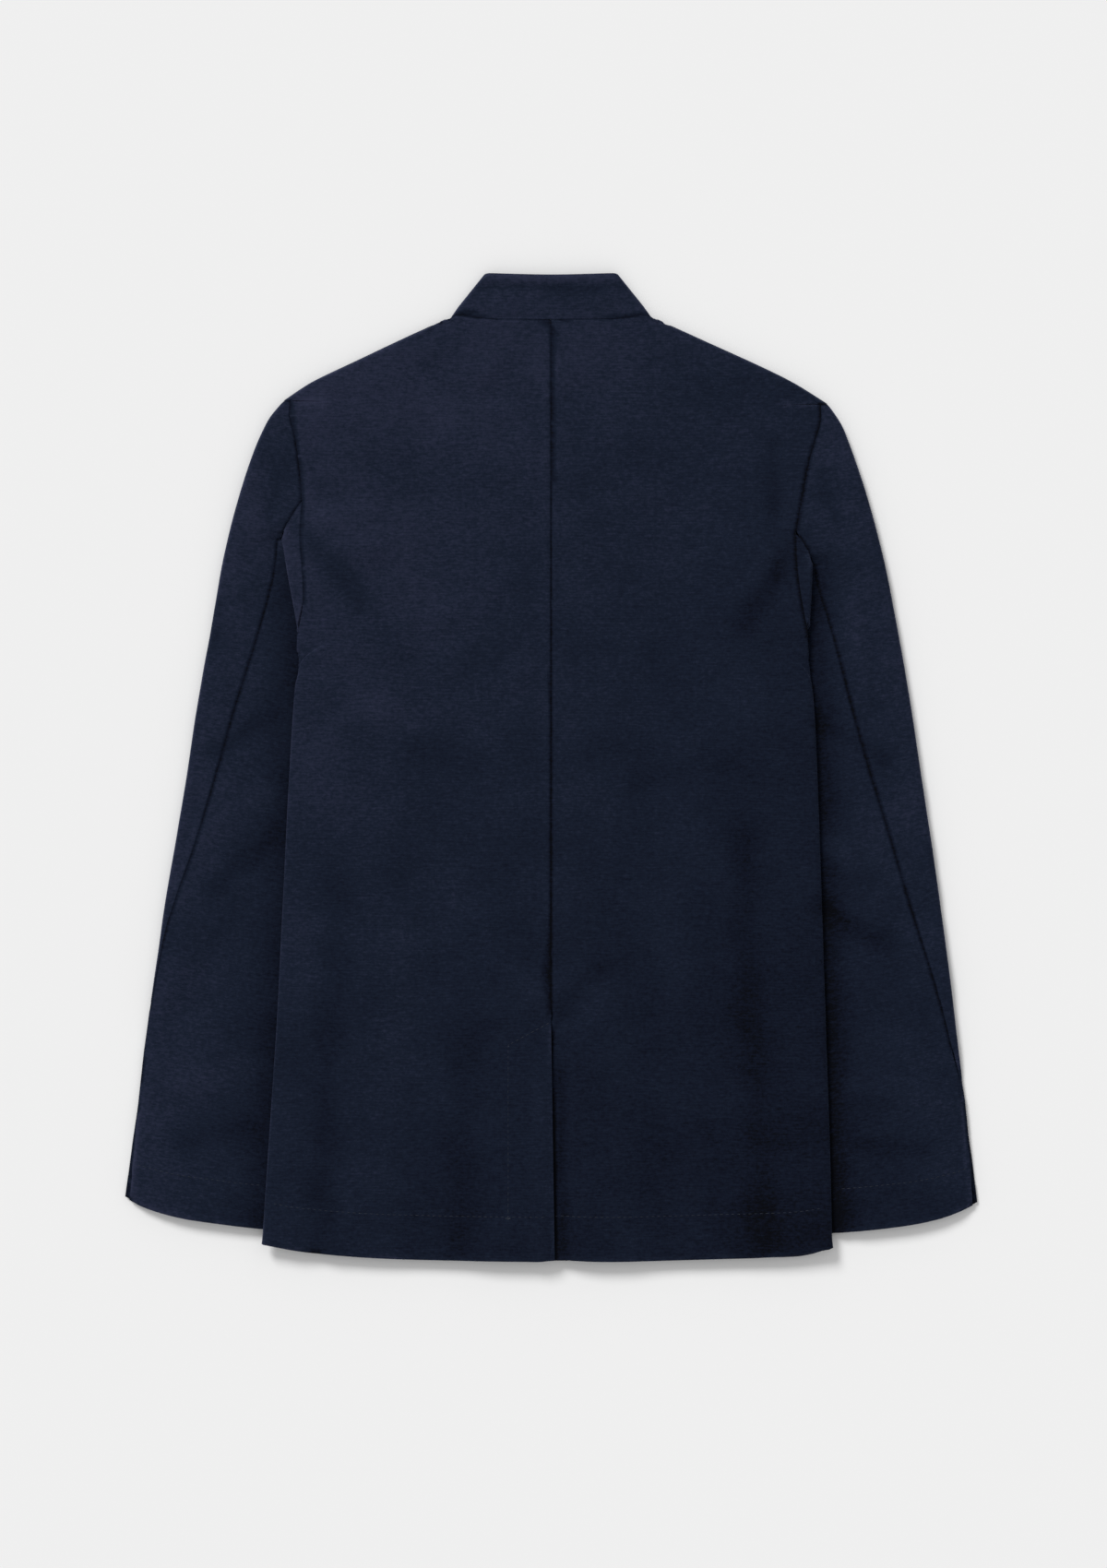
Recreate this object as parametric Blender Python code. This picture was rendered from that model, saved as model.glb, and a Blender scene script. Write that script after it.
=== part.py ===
"""A nehru jacket laid flat, face down: its back is on top and its sleeves lie at its sides, partly under it.

Sizes are in millimetres and become metres when a mesh is made. Seen from above, +Y runs from hem to
collar and +X is the wearer's right. Most curves belong to one half of the jacket, so they are given as
distances out from the centre back seam, and the sign of the half turns them into x.

Each cloth piece is a wall cut from the skin of a flattened tube. A Section is one cut across a tube at
one y: its points run over the top, round the folded edge and back underneath, outside and inside.
"""

import math

import bmesh
import bpy
import numpy as np
from mathutils import Matrix

MM = 0.001

# Cloth
CLOTH = 2.0  # a brushed cotton wall
SEAM_GAP = 0.3  # between two pieces that are sewn together
LOOSE_GAP = 0.7  # where a curved edge meets a neighbour that is cut in other rows

# Heights above the surface that the jacket lies on
FLAT_HEIGHT = 7.5  # the outside of two layers that lie on each other
SLEEVE_PRESSED = 4.7  # a sleeve under the body
BODY_OVER = 5.8  # the underside of the body where it crosses a sleeve
SIDE_HEIGHT = 11.2  # the top of the body where it crosses a sleeve
CENTRE_RISE = 2.9  # over the lapped fronts, the buttons and the vent
BUTTON_RISE = 3.4  # the left front over its buttons
LAP_RISE = CLOTH + SEAM_GAP  # one panel lying on another

# Collar and neck
COLLAR_HEIGHT = 35.0
NECK_Y = 352.1
COLLAR_BASE_CORNER = np.array([79.3, 354.0])
COLLAR_TOP_CORNER = np.array([53.1, 386.5])
COLLAR_FOLD_RADIUS = FLAT_HEIGHT / 2
COLLAR_END_RADIUS = 14.0
# The front neckline, (out, y) from the centre front to the shoulder
NECKLINE = (
    (0, 263.6), (14, 265.2), (28, 270.5), (41, 279), (52, 290.5), (62, 305), (70, 320), (75.5, 335),
    (79.3, 348),
)

# Fronts
LAP = 18.0  # how far each front passes the centre
BUTTON_RADIUS = 9.5
BUTTON_THICK = 3.0
BUTTON_YS = (235.0, 142.0, 49.0, -44.0, -137.0)

# Back vent
VENT_TOP = -198.0
VENT_UNDERLAP = 33.0
VENT_LEAN = 3.0  # how far the upper side has crept over the middle at the hem

HEM_Y = -387.0
CUFF_Y = -350.0
HEM_REACH = 90.0  # how far above an edge its curve is still felt in the rows of the grid
LEVEL_Y = -100.0  # the rows slant at the armhole and are level from here down
CUFF_LAP = 4.7  # how far the under layer shows past the upper one at the cuff vent

NAVY = (0.0100, 0.0155, 0.0275, 1.0)
BUTTON_NAVY = (0.008, 0.010, 0.018, 1.0)


def smooth(low, high, value):
    """0 up to low, 1 from high on, and a soft step between."""
    share = np.clip((value - low) / (high - low), 0.0, 1.0)
    return share * share * (3 - 2 * share)


class Curve:
    """A smooth line through a few points (at, value)."""

    def __init__(self, *points):
        self.at, self.value = np.array(sorted(points), float).T
        step = np.diff(self.at)
        slope = np.diff(self.value) / step
        lean = np.empty(len(self.at))
        lean[0], lean[-1] = slope[0], slope[-1]
        lean[1:-1] = (slope[:-1] * step[1:] + slope[1:] * step[:-1]) / (step[1:] + step[:-1])
        self.lean = lean

    def __call__(self, at):
        at = np.asarray(at, float)
        held = np.clip(at, self.at[0], self.at[-1])
        i = np.clip(np.searchsorted(self.at, held) - 1, 0, len(self.at) - 2)
        step = self.at[i + 1] - self.at[i]
        share = (held - self.at[i]) / step
        rest = 1 - share
        inside = (
            self.value[i] * rest * rest * (1 + 2 * share)
            + self.value[i + 1] * share * share * (1 + 2 * rest)
            + self.lean[i] * step * share * rest * rest
            - self.lean[i + 1] * step * share * share * rest
        )
        beyond = (at - held) * np.where(at > held, self.lean[-1], self.lean[0])
        return inside + beyond


class Half:
    """One half of the jacket. Every curve gives a distance out from the middle at a y."""

    def __init__(self, sign, **values):
        self.sign = sign
        self.__dict__.update(values)


LEFT = Half(
    -1,
    name="left",
    shoulder_end=287.6,  # where the armhole seam meets the folded shoulder
    armpit=180.5,  # where the body's side fold begins
    underarm=140.0,  # the lowest point of the armhole, on the underside
    vent_top=-220.0,  # of the cuff
    side_crossing=98.0,  # where the side seam passes round the side fold
    hind_crossing=-140.0,  # where the hind-arm seam reaches the sleeve's outer fold
    # Shoulder, sleeve head and the sleeve's outer edge
    outer=Curve(
        (354, 79.1), (348, 92), (341, 108), (326, 139), (312, 169), (305, 185), (297.5, 197.5),
        (290, 207.6), (283, 215.5), (276, 220.6), (269, 225), (254, 231.4), (225, 241.5),
        (167.5, 256.7), (110, 266.8), (52, 277.6), (-6, 286), (-63.5, 295.7), (-121, 305.8),
        (-179, 313.7), (-237, 321.7), (-295, 328.9), (-336.4, 334.7),
    ),
    fold=Curve(
        (181, 211.4), (163.5, 208.4), (145, 205.6), (122, 201.2), (104, 199.5), (80, 200.4), (55.6, 201.9),
        (4, 205.6), (-49, 208), (-179, 214.5), (-243, 217.8), (-308, 223), (-373, 227),
    ),
    armhole=Curve(
        (287.6, 204.8), (278, 205.6), (260, 200.8), (238, 197.8), (220, 195.9), (210, 195.7),
    ),
    lower_armhole=Curve((210, 195.7), (203, 201.2), (194, 206.7), (187, 209.6), (180.5, 211.4)),
    front_armhole=Curve(
        (287.6, 204.8), (270, 190), (250, 176), (230, 167), (200, 161.5), (170, 160.5), (140, 164),
    ),
    # Seams on a fold, as the length of cloth past its outermost line (minus: on the top side)
    side_seam=Curve(
        (210, -17.2), (180, -15.6), (150, -13.6), (113, -5), (102.5, 0), (80, 5), (40, 9), (-100, 11),
        (-373, 8),
    ),
    front_seam=Curve((140, 43.5), (100, 50), (0, 60), (-370, 70)),
    hind_seam=Curve(
        (180, 41.5), (160, 44.5), (129, 43.5), (109, 40), (70, 36.5), (35, 30.5), (-45, 21), (-132, 5.5),
        (-185, 2.5), (-220, 0),
    ),
    sleeve_inner=Curve(
        (140, 165), (95, 140), (50, 133), (0, 133), (-100, 145), (-200, 165), (-300, 186), (-365, 198),
    ),
    hem=Curve((0, -387), (70, -386.3), (145, -384), (189.5, -380), (217.7, -375.4), (227, -373)),
    cuff=Curve((198, -364), (226, -362), (257, -358), (287, -354), (308, -349), (322, -345), (334.7, -336.4)),
)

RIGHT = Half(
    1,
    name="right",
    shoulder_end=285.0,
    armpit=161.0,
    underarm=125.0,
    vent_top=-259.0,
    side_crossing=94.0,
    hind_crossing=-200.0,
    outer=Curve(
        (354, 79.6), (348, 92), (341, 108), (326, 139.7), (312, 172), (305, 186), (297.5, 200.4),
        (290, 211), (283, 219.8), (276, 225), (269, 228.5), (254, 234.3), (225, 244.4),
        (167.5, 260.3), (110, 271.8), (52, 282), (-6, 290.6), (-63.5, 299.4), (-121, 307.4),
        (-179, 315), (-237, 321.9), (-295, 329.2), (-341, 334.7),
    ),
    fold=Curve(
        (161, 205), (140, 204.3), (118, 203.3), (96, 202.6), (77, 204.6), (46, 207), (8.7, 208.7),
        (-49, 210.8), (-165, 214.6), (-286, 219), (-375, 221),
    ),
    armhole=Curve(
        (285, 211.2), (275, 212.6), (257, 206.6), (236.5, 201.2), (214, 197), (195, 194), (186, 192.6),
    ),
    lower_armhole=Curve((186, 192.6), (183, 195.2), (173, 201.2), (161, 205)),
    front_armhole=Curve(
        (285, 211.2), (270, 195), (250, 180), (230, 170), (200, 162), (160, 159), (125, 163),
    ),
    side_seam=Curve(
        (186, -14.4), (164, -14.7), (145, -12.2), (124.5, -7.9), (99, -1), (95, 0.5), (75, 5), (40, 9),
        (-100, 11), (-373, 8),
    ),
    front_seam=Curve((125, 43.5), (90, 50), (0, 60), (-370, 70)),
    hind_seam=Curve(
        (161, 57.5), (145, 59.5), (123, 56.3), (96, 53.3), (58.6, 50.5), (19.5, 46), (-43, 36.2),
        (-120, 24.5), (-184, 12.2), (-215, 8.5), (-237.5, 5.5), (-259, 0),
    ),
    sleeve_inner=Curve(
        (125, 165), (90, 142), (50, 136), (0, 136), (-100, 148), (-200, 166), (-300, 186), (-365, 198),
    ),
    hem=Curve((0, -385), (12, -386), (38, -387), (88, -386.3), (153, -384), (205, -381), (221, -376)),
    cuff=Curve(
        (198, -366.5), (222, -365), (254.5, -362), (286, -358), (304, -354), (321, -349), (334.7, -341),
    ),
)

# Soft creases of the laid cloth: both ends (out, y), half width, and height, minus for a trough
SLEEVE_CREASES = {
    "left": (
        ((232, -110), (286, -194), 17, -1.9),
        ((276, -136), (304, -176), 12, 1.2),
        ((252, -328), (250, -268), 20, -1.2),
        ((246, 130), (262, 40), 16, 0.9),
    ),
    "right": (
        ((212, 134), (238, 96), 13, -1.6),
        ((224, 92), (246, 124), 11, 1.3),
        ((218, -196), (256, -214), 13, -1.7),
        ((216, 150), (214, -150), 9, -1.0),
    ),
}
BODY_CREASES = {
    "left": (
        ((62, 250), (74, 60), 26, 0.5),
        ((128, 190), (118, -60), 30, -0.5),
    ),
    "right": (
        ((182, 262), (181, 136), 15, -1.1),
        ((70, 120), (86, -120), 34, 0.5),
    ),
}


def crease_height(creases, out, y):
    """The troughs and ridges of one side, added up at a place."""
    total = 0.0
    for (out_a, y_a), (out_b, y_b), reach, height in creases:
        along_out, along_y = out_b - out_a, y_b - y_a
        share = ((out - out_a) * along_out + (y - y_a) * along_y) / (along_out**2 + along_y**2)
        share = np.clip(share, 0.0, 1.0)
        away = np.hypot(out - out_a - share * along_out, y - y_a - share * along_y)
        total = total + height * np.exp(-((away / reach) ** 2))
    return total


def tuck(half, out, y):
    """How far the body has climbed onto the sleeve that lies under its side, 0 to 1."""
    start = half.sleeve_inner(min(y, half.underarm))
    return smooth(start - 60, start - 8, out)


def body_top(half, out, y):
    centre = CENTRE_RISE * (1 - smooth(45, 90, np.abs(out))) * (1 - smooth(250, 300, y))
    side = (SIDE_HEIGHT - FLAT_HEIGHT) * tuck(half, out, y) * (1 - smooth(half.armpit, half.armpit + 40, y))
    calm = 1 - smooth(half.fold(y) - 26, half.fold(y) - 8, out)
    return FLAT_HEIGHT + centre + side + calm * crease_height(BODY_CREASES[half.name], out, y)


def body_bottom(half, out, y):
    """The underside of the fronts and side panels, without the lap and the buttons."""
    start = half.sleeve_inner(min(y, half.underarm))
    settled = 1 - smooth(half.underarm + 2, half.underarm + 28, y)
    under_front = tuck(half, out, y) * settled
    under_side = np.where((out > start - 1) & (y < half.armpit), 1.0, 0.0)
    return BODY_OVER * np.maximum(under_front, under_side)


def front_bottom(half, out, y):
    """body_bottom, raised over the buttons and, on the right front, over the left one."""
    down_the_front = (1 - smooth(249, 263, y)) * smooth(-196, -151, y)
    buttons = BUTTON_RISE * (1 - smooth(15, 48, np.abs(out))) * down_the_front
    lapped = LAP_RISE * (1 - smooth(20, 40, out)) if half is RIGHT else 0.0
    return body_bottom(half, out, y) + buttons + lapped


def sleeve_top(half, out, y):
    """The upper side of a sleeve: pressed under the body, fuller beside it, level above the armpit."""
    flat_end = vent_flatness(half, y)
    edge = 2.9 * flat_end * (1 - smooth(0, 45, half.outer(y) - out))
    beside = half.fold(y) if y < half.armpit else half.fold(half.armpit)
    past = out - beside
    below = SLEEVE_PRESSED + (FLAT_HEIGHT - SLEEVE_PRESSED) * smooth(2, 18, past)
    seam = half.armhole(max(y, half.armhole.at[0]))
    above = FLAT_HEIGHT + (SIDE_HEIGHT - FLAT_HEIGHT) * (1 - smooth(half.armpit, half.armpit + 40, y)) * (
        1 - smooth(seam, seam + 34, out)
    )
    raised = smooth(half.armpit - 0.5, half.armpit + 14, y)
    calm = smooth(1, 16, past) * smooth(6, 24, half.outer(y) - out)
    creases = calm * crease_height(SLEEVE_CREASES[half.name], out, y)
    return below + (above - below) * raised + creases - edge


def vent_flatness(half, y):
    """0 along the sleeve's rounded outer edge, 1 at the cuff vent, where its layers lie flat."""
    return 1 - smooth(half.vent_top, half.vent_top + 60, y)


def level(height):
    """The height function of a part that lies at one height."""
    return lambda out: np.full_like(np.asarray(out, float), height)


class Section:
    """One cut across a tube of cloth, as stretches of points in order.

    A stretch is (out, height, inner out, inner height, effort): effort says how closely a grid's columns
    stand along it.
    """

    def __init__(self, stretches, turn_stretch):
        self.points = np.hstack([np.array(np.broadcast_arrays(*s[:4])) for s in stretches])
        effort = np.concatenate([np.full(len(s[0]), s[4]) for s in stretches])
        step = np.hypot(*np.diff(self.points[:2], axis=1))
        self.along = np.concatenate([[0], np.cumsum(step)])
        self.effort = np.concatenate([[0], np.cumsum(step * (effort[1:] + effort[:-1]) / 2 + 1e-9)])
        starts = np.cumsum([0] + [len(s[0]) for s in stretches])
        self.spans = list(zip(starts[:-1], starts[1:]))
        first, last = self.spans[turn_stretch]
        self.turn = self.along[(first + last - 1) // 2]

    def where(self, first_stretch, last_stretch, out):
        """The length along the section at which its flat stretches pass this distance out."""
        first, last = self.spans[first_stretch][0], self.spans[last_stretch][1]
        outs, along = self.points[0, first:last], self.along[first:last]
        order = np.argsort(outs, kind="stable")
        return float(np.interp(out, outs[order], along[order]))

    def on_top(self, out):
        return self.where(0, 1, out)

    def underneath(self, out):
        return self.where(3, 4, out)

    def length_at(self, start, end, share):
        """The length along the section at a share of the effort from start to end."""
        low, high = np.interp([start, end], self.along, self.effort)
        return np.interp(low + share * (high - low), self.effort, self.along)

    def point(self, start, end, share):
        """(out, height, inner out, inner height) at a share of the effort from start to end."""
        at = self.length_at(start, end, share)
        return [np.interp(at, self.along, row) for row in self.points]


FLAT_STEPS, TURN_STEPS = 90, 33
FOLD_EFFORT, CENTRE_EFFORT, FLAT_EFFORT = 10.0, 2.2, 1.0


def flat(start, end, height, thickness):
    """A stretch with little slope. Thickness is minus for an upper layer, whose inside is below."""
    out = np.linspace(start, end, FLAT_STEPS)
    effort = CENTRE_EFFORT if abs(start) < 60 and abs(end) < 60 else FLAT_EFFORT
    return out, height(out), out, height(out) + thickness, effort


def turn(centre, spread, low, high, outwards, downwards):
    """The half round of a folded edge. Spread is its reach along x."""
    radius = (high - low) / 2
    inner = radius - CLOTH
    angle = np.linspace(0, math.pi, TURN_STEPS)
    side = np.sin(angle) * outwards
    up = np.cos(angle) * (1 if downwards else -1)
    middle = (high + low) / 2
    reach = np.sin(angle) * spread * (inner / radius) * outwards
    return centre + side * spread, middle + up * radius, centre + reach, middle + up * inner, FOLD_EFFORT


def fold_spread(curve, y, radius):
    """How far a fold of this radius reaches along x where its edge slants."""
    slant = (curve(y + 1.5) - curve(y - 1.5)) / 3
    return radius * math.hypot(1, slant)


MIDDLE = 55.0  # the columns stand closer than this to the centre


def tube(edge, spread, top, bottom, start, end):
    """A section over the top from start, round the edge and back underneath to end."""
    brink = edge - spread
    high, low = float(top(brink)), float(bottom(brink))
    return Section(
        [
            flat(start, MIDDLE, top, -CLOTH),
            flat(MIDDLE, brink, top, -CLOTH),
            turn(brink, spread, low, high, 1, True),
            flat(brink, MIDDLE, bottom, CLOTH),
            flat(MIDDLE, end, bottom, CLOTH),
        ],
        turn_stretch=2,
    )


def body_section(half, y, bottom=body_bottom):
    """The body at y, from past the centre back to past the centre front."""
    beside_sleeve = y <= half.armhole.at[0]
    edge_curve = half.fold if beside_sleeve else half.outer
    held = min(y, half.armpit - 0.01) if beside_sleeve else y
    edge = float(edge_curve(held))

    def top(out):
        return body_top(half, out, y)

    def under(out):
        return bottom(half, out, held)

    radius = (float(top(edge - 4)) - float(under(edge - 4))) / 2
    return tube(edge, fold_spread(edge_curve, held, radius), top, under, -40.0, -30.0)


def sleeve_section(half, y):
    """A sleeve at y, from over the body, round its outer edge and back underneath."""
    edge = float(half.outer(y))

    def top(out):
        return sleeve_top(half, out, y)

    radius = float(top(edge - 3)) / 2
    spread = fold_spread(half.outer, y, radius) * (1 - 0.97 * vent_flatness(half, y))
    return tube(edge, spread, top, level(0.0), 90.0, 90.0)


def under_section(half, y):
    """A sleeve below the armhole, from its forearm seam, round its inner fold and over the top."""
    held = min(y, half.underarm)
    inner_edge, edge = float(half.sleeve_inner(held)), float(half.outer(y))

    def top(out):
        return sleeve_top(half, out, y)

    radius = SLEEVE_PRESSED / 2
    outer_radius = float(top(edge - 3)) / 2
    spread = fold_spread(half.outer, y, outer_radius) * (1 - 0.97 * vent_flatness(half, y))
    brink, inner_brink = edge - spread, inner_edge + radius
    return Section(
        [
            flat(forearm(half, y), inner_brink, level(0.0), CLOTH),
            turn(inner_brink, radius, 0.0, SLEEVE_PRESSED, -1, False),
            flat(inner_brink, brink, top, -CLOTH),
            turn(brink, spread, 0.0, float(top(brink)), 1, True),
        ],
        turn_stretch=3,
    )


def forearm(half, y):
    """How far out the sleeve's front seam lies, on its underside."""
    start = half.sleeve_inner(min(y, half.underarm)) + SLEEVE_PRESSED / 2
    return float(start + 20 * (1 - smooth(half.underarm - 60, half.underarm, y)))


def half_gap(y, crossing):
    """Half a seam's gap, wider where the seam passes round a fold."""
    return SEAM_GAP / 2 + 1.2 * math.exp(-(((y - crossing) / 24) ** 2))


def eased(y, edge_y, edge_curve, out):
    """y moved so that the grid's last rows take the curve of an edge."""
    share = 1 - smooth(0, HEM_REACH, y - edge_y)
    return y + (edge_curve(out) - edge_y) * share


def new_material(name, colour, roughness):
    material = bpy.data.materials.new(name)
    material.diffuse_color = colour
    material.use_nodes = True
    shader = material.node_tree.nodes["Principled BSDF"]
    shader.inputs["Base Color"].default_value = colour
    shader.inputs["Roughness"].default_value = roughness
    return material


def add_object(name, mesh, colour, roughness):
    mesh.materials.append(new_material(f"{name}_finish", colour, roughness))
    piece = bpy.data.objects.new(name, mesh)
    bpy.context.scene.collection.objects.link(piece)
    return piece


def wall(name, outside, inside):
    """A cloth wall between two grids of points, given as rows of (x, y, z) in millimetres."""
    outside, inside = np.array(outside), np.array(inside)
    rows, columns = outside.shape[:2]
    count = rows * columns
    points = np.vstack([outside.reshape(-1, 3), inside.reshape(-1, 3)]) * MM
    grid = np.arange(count).reshape(rows, columns)
    faces = []
    for i in range(rows - 1):
        for j in range(columns - 1):
            quad = [grid[i, j], grid[i, j + 1], grid[i + 1, j + 1], grid[i + 1, j]]
            faces.append(quad)
            faces.append([corner + count for corner in reversed(quad)])
    rim = [*grid[0], *grid[1:, -1], *grid[-1, -2::-1], *grid[-2:0:-1, 0]]
    for here, there in zip(rim, rim[1:] + rim[:1]):
        faces.append([there, here, here + count, there + count])
    mesh = bpy.data.meshes.new(name)
    mesh.from_pydata(points.tolist(), [], [[int(corner) for corner in face] for face in faces])
    tidy = bmesh.new()
    tidy.from_mesh(mesh)
    bmesh.ops.recalc_face_normals(tidy, faces=tidy.faces)
    tidy.to_mesh(mesh)
    tidy.free()
    mesh.shade_smooth()
    mesh.set_sharp_from_angle(angle=math.radians(50))
    return add_object(name, mesh, NAVY, 0.9)


def panel(name, half, rows, columns, place):
    """A wall whose place(row, share) gives (y, out, height, inner out, inner height)."""
    outside, inside = [], []
    for row in range(rows):
        line = [place(row, share) for share in np.linspace(0, 1, columns)]
        outside.append([(half.sign * out, y, height) for y, out, height, _, _ in line])
        inside.append([(half.sign * out, y, height) for y, _, _, out, height in line])
    return wall(name, outside, inside)


def side_rows(half):
    """The y of each row down the side seam, from the armhole to the hem."""
    top = half.armhole.at[0]
    below_armhole = [top - down for down in (0, 14, 32, 54, 80)]
    vent = [VENT_TOP + 16, VENT_TOP + 1, VENT_TOP - 3]
    return [*below_armhole, 104, 90, 72, 30, -30, -90, -150, *vent, -290, -345, HEM_Y]


def armhole_rows(half):
    """The y of each row down the armhole, above the side seam."""
    low = half.armhole.at[0]
    start = half.shoulder_end - 0.4
    return [start, *(low + (start - low) * share for share in (0.86, 0.66, 0.44, 0.22))]


def shoulder_rows(half):
    return [NECK_Y, 345, 333, 318, 303, half.shoulder_end + 0.6]


def neck_curve(out):
    """The seam under the collar at the back, which climbs towards the shoulders."""
    return NECK_Y + 3.2 * smooth(50, 74, abs(out)) - 2.4 * smooth(73, 80, abs(out))


def underarm_line(half, out):
    """The y of the armhole's underside, from the side fold down to its lowest point."""
    fold_out, low_out = float(half.fold(half.armpit)), float(half.sleeve_inner(half.underarm))
    share = np.clip((fold_out - out) / (fold_out - low_out), 0, 1)
    return half.armpit + (half.underarm - half.armpit) * share


def slanted(y, top, drop):
    """y lowered by drop at the top row, and by less and less down to the elbow."""
    return y + drop * min(1.0, max(0.0, (y - LEVEL_Y) / (top - LEVEL_Y)))


def vent_centre(half, y):
    """Where a back's centre edge lies below the top of the vent."""
    if half is RIGHT:
        return -VENT_UNDERLAP
    return SEAM_GAP / 2 - VENT_LEAN * (VENT_TOP - y) / (VENT_TOP - HEM_Y)


def make_back(half):
    shoulder, armhole = shoulder_rows(half), armhole_rows(half)
    rows = shoulder + armhole + side_rows(half)

    def side_end(y, row, section):
        if row < len(shoulder):
            return section.turn - SEAM_GAP / 2
        if row < len(shoulder) + len(armhole):
            return section.on_top(half.armhole(y) - SEAM_GAP / 2)
        return section.turn + half.side_seam(y) - half_gap(y, half.side_crossing)

    def vent_drop(out, y):
        """The right back dips under the left one at the vent."""
        if half is LEFT:
            return 0.0
        return LAP_RISE * (1 - smooth(12, 28, out)) * (1 - smooth(VENT_TOP + 1, VENT_TOP + 15, y))

    def place(row, share):
        y = rows[row]
        for _ in range(2):
            section = body_section(half, y)
            centre = SEAM_GAP / 2 if rows[row] >= VENT_TOP else vent_centre(half, y)
            start, end = section.on_top(centre), side_end(y, row, section)
            out, height, inner_out, inner_height = section.point(start, end, share)
            y = eased(rows[row], HEM_Y, half.hem, out)
            if row == 0:
                y = neck_curve(out) - LOOSE_GAP
        drop = vent_drop(out, y)
        return y, out, height - drop, inner_out, inner_height - drop

    return panel(f"back_{half.name}", half, len(rows), 11, place)


def make_side(half):
    """A side panel, from the back seam round the side fold to the front seam underneath."""
    rows = side_rows(half)
    top = rows[0]

    def ends(y, section):
        start = section.turn + half.side_seam(y) + half_gap(y, half.side_crossing)
        return start, section.turn + half.front_seam(min(y, half.underarm)) - SEAM_GAP / 2

    def column_top(share):
        """The y at which a column meets the armhole, on the top side, the fold or the underside."""
        if share in (0, 1):
            return top if share == 0 else half.underarm
        for y in np.arange(top, half.armpit, -0.5):
            section = body_section(half, y)
            start, end = ends(y, section)
            out = section.point(start, end, share)[0]
            if section.length_at(start, end, share) > section.turn:
                break
            if out <= half.lower_armhole(y) - LOOSE_GAP:
                return y
        return float(underarm_line(half, out))

    tops = {}

    def place(row, share):
        if share not in tops:
            tops[share] = column_top(share)
        lowered = slanted(rows[row], top, tops[share] - top)
        y = lowered
        for _ in range(2):
            section = body_section(half, y)
            point = section.point(*ends(y, section), share)
            y = eased(lowered, HEM_Y, half.hem, point[0])
            if row == 0:
                y -= LOOSE_GAP
        return y, *point

    return panel(f"side_{half.name}", half, len(rows), 11, place)


def front_rows(half):
    """(side y, centre y, centre out) of each row of a front."""
    start = half.shoulder_end - 0.4
    shoulder = [347.0, 333.0, 318.0, 303.0, half.shoulder_end + 0.6]
    armhole = [underside_y(half, y) for y in armhole_rows(half) + lower_rows(half)]
    seam = [slanted(y, side_rows(half)[0], half.underarm - side_rows(half)[0]) for y in side_rows(half)]
    outer_ys = shoulder + armhole + seam[1:]
    neck = [(out + SEAM_GAP, y - LOOSE_GAP) for out, y in reversed(NECKLINE[1:])]
    neck += [(-2, NECKLINE[0][1] - 1.2), (-LAP, NECKLINE[0][1] - 2)]
    below = [(-LAP, y) for y in (248, 218, 190, 165, 143, 124)]
    below += [(-LAP, y) for y in outer_ys[len(neck) + len(below) :]]
    return [(y, centre_y, out) for y, (out, centre_y) in zip(outer_ys, neck + below)]


def make_front(half):
    rows = front_rows(half)
    shoulder_count, armhole_count = 5, 10

    def side_start(y, row, section):
        if row < shoulder_count:
            return section.turn + SEAM_GAP / 2
        if row < shoulder_count + armhole_count - 1:
            return section.underneath(half.front_armhole(max(y, half.underarm)) - SEAM_GAP / 2)
        return section.turn + half.front_seam(min(y, half.underarm)) + SEAM_GAP / 2

    def place(row, share):
        side_y, centre_y, centre_out = rows[row]
        level_y = side_y + (centre_y - side_y) * smooth(0, 0.7, share)
        y = level_y
        for _ in range(2):
            section = body_section(half, y, front_bottom)
            start, end = side_start(y, row, section), section.underneath(centre_out)
            point = section.point(start, end, share)
            y = eased(level_y, HEM_Y, half.hem, abs(point[0]))
        return y, *point

    return panel(f"front_{half.name}", half, len(rows), 11, place)


def lower_rows(half):
    """The y of each row down the sleeve's side of the armhole, from the side seam to the armpit."""
    top, low = half.armhole.at[0], half.armpit
    return [low + (top - low) * share for share in (1, 0.72, 0.45, 0.2, 0)]


def underside_y(half, y):
    """The y on the front armhole that belongs to a y on the back one."""
    start = half.shoulder_end - 0.4
    return start - (start - y) * (start - half.underarm) / (start - half.armpit)


def sleeve_rows(half):
    """The y of each row below the armpit, down the hind-arm seam to the cuff."""
    upper = [half.armpit - 1, half.armpit - 14, half.armpit - 32, 120, 85, 45, 0]
    middle = list(np.linspace(-60, half.vent_top + 1, 6))
    return upper + middle + [half.vent_top - 3, (half.vent_top + CUFF_Y) / 2, CUFF_Y + 15, CUFF_Y]


def forearm_y(half, y):
    """The y on the forearm seam that belongs to a y on the hind-arm seam."""
    return slanted(y, half.armpit, half.underarm - half.armpit)


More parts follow.
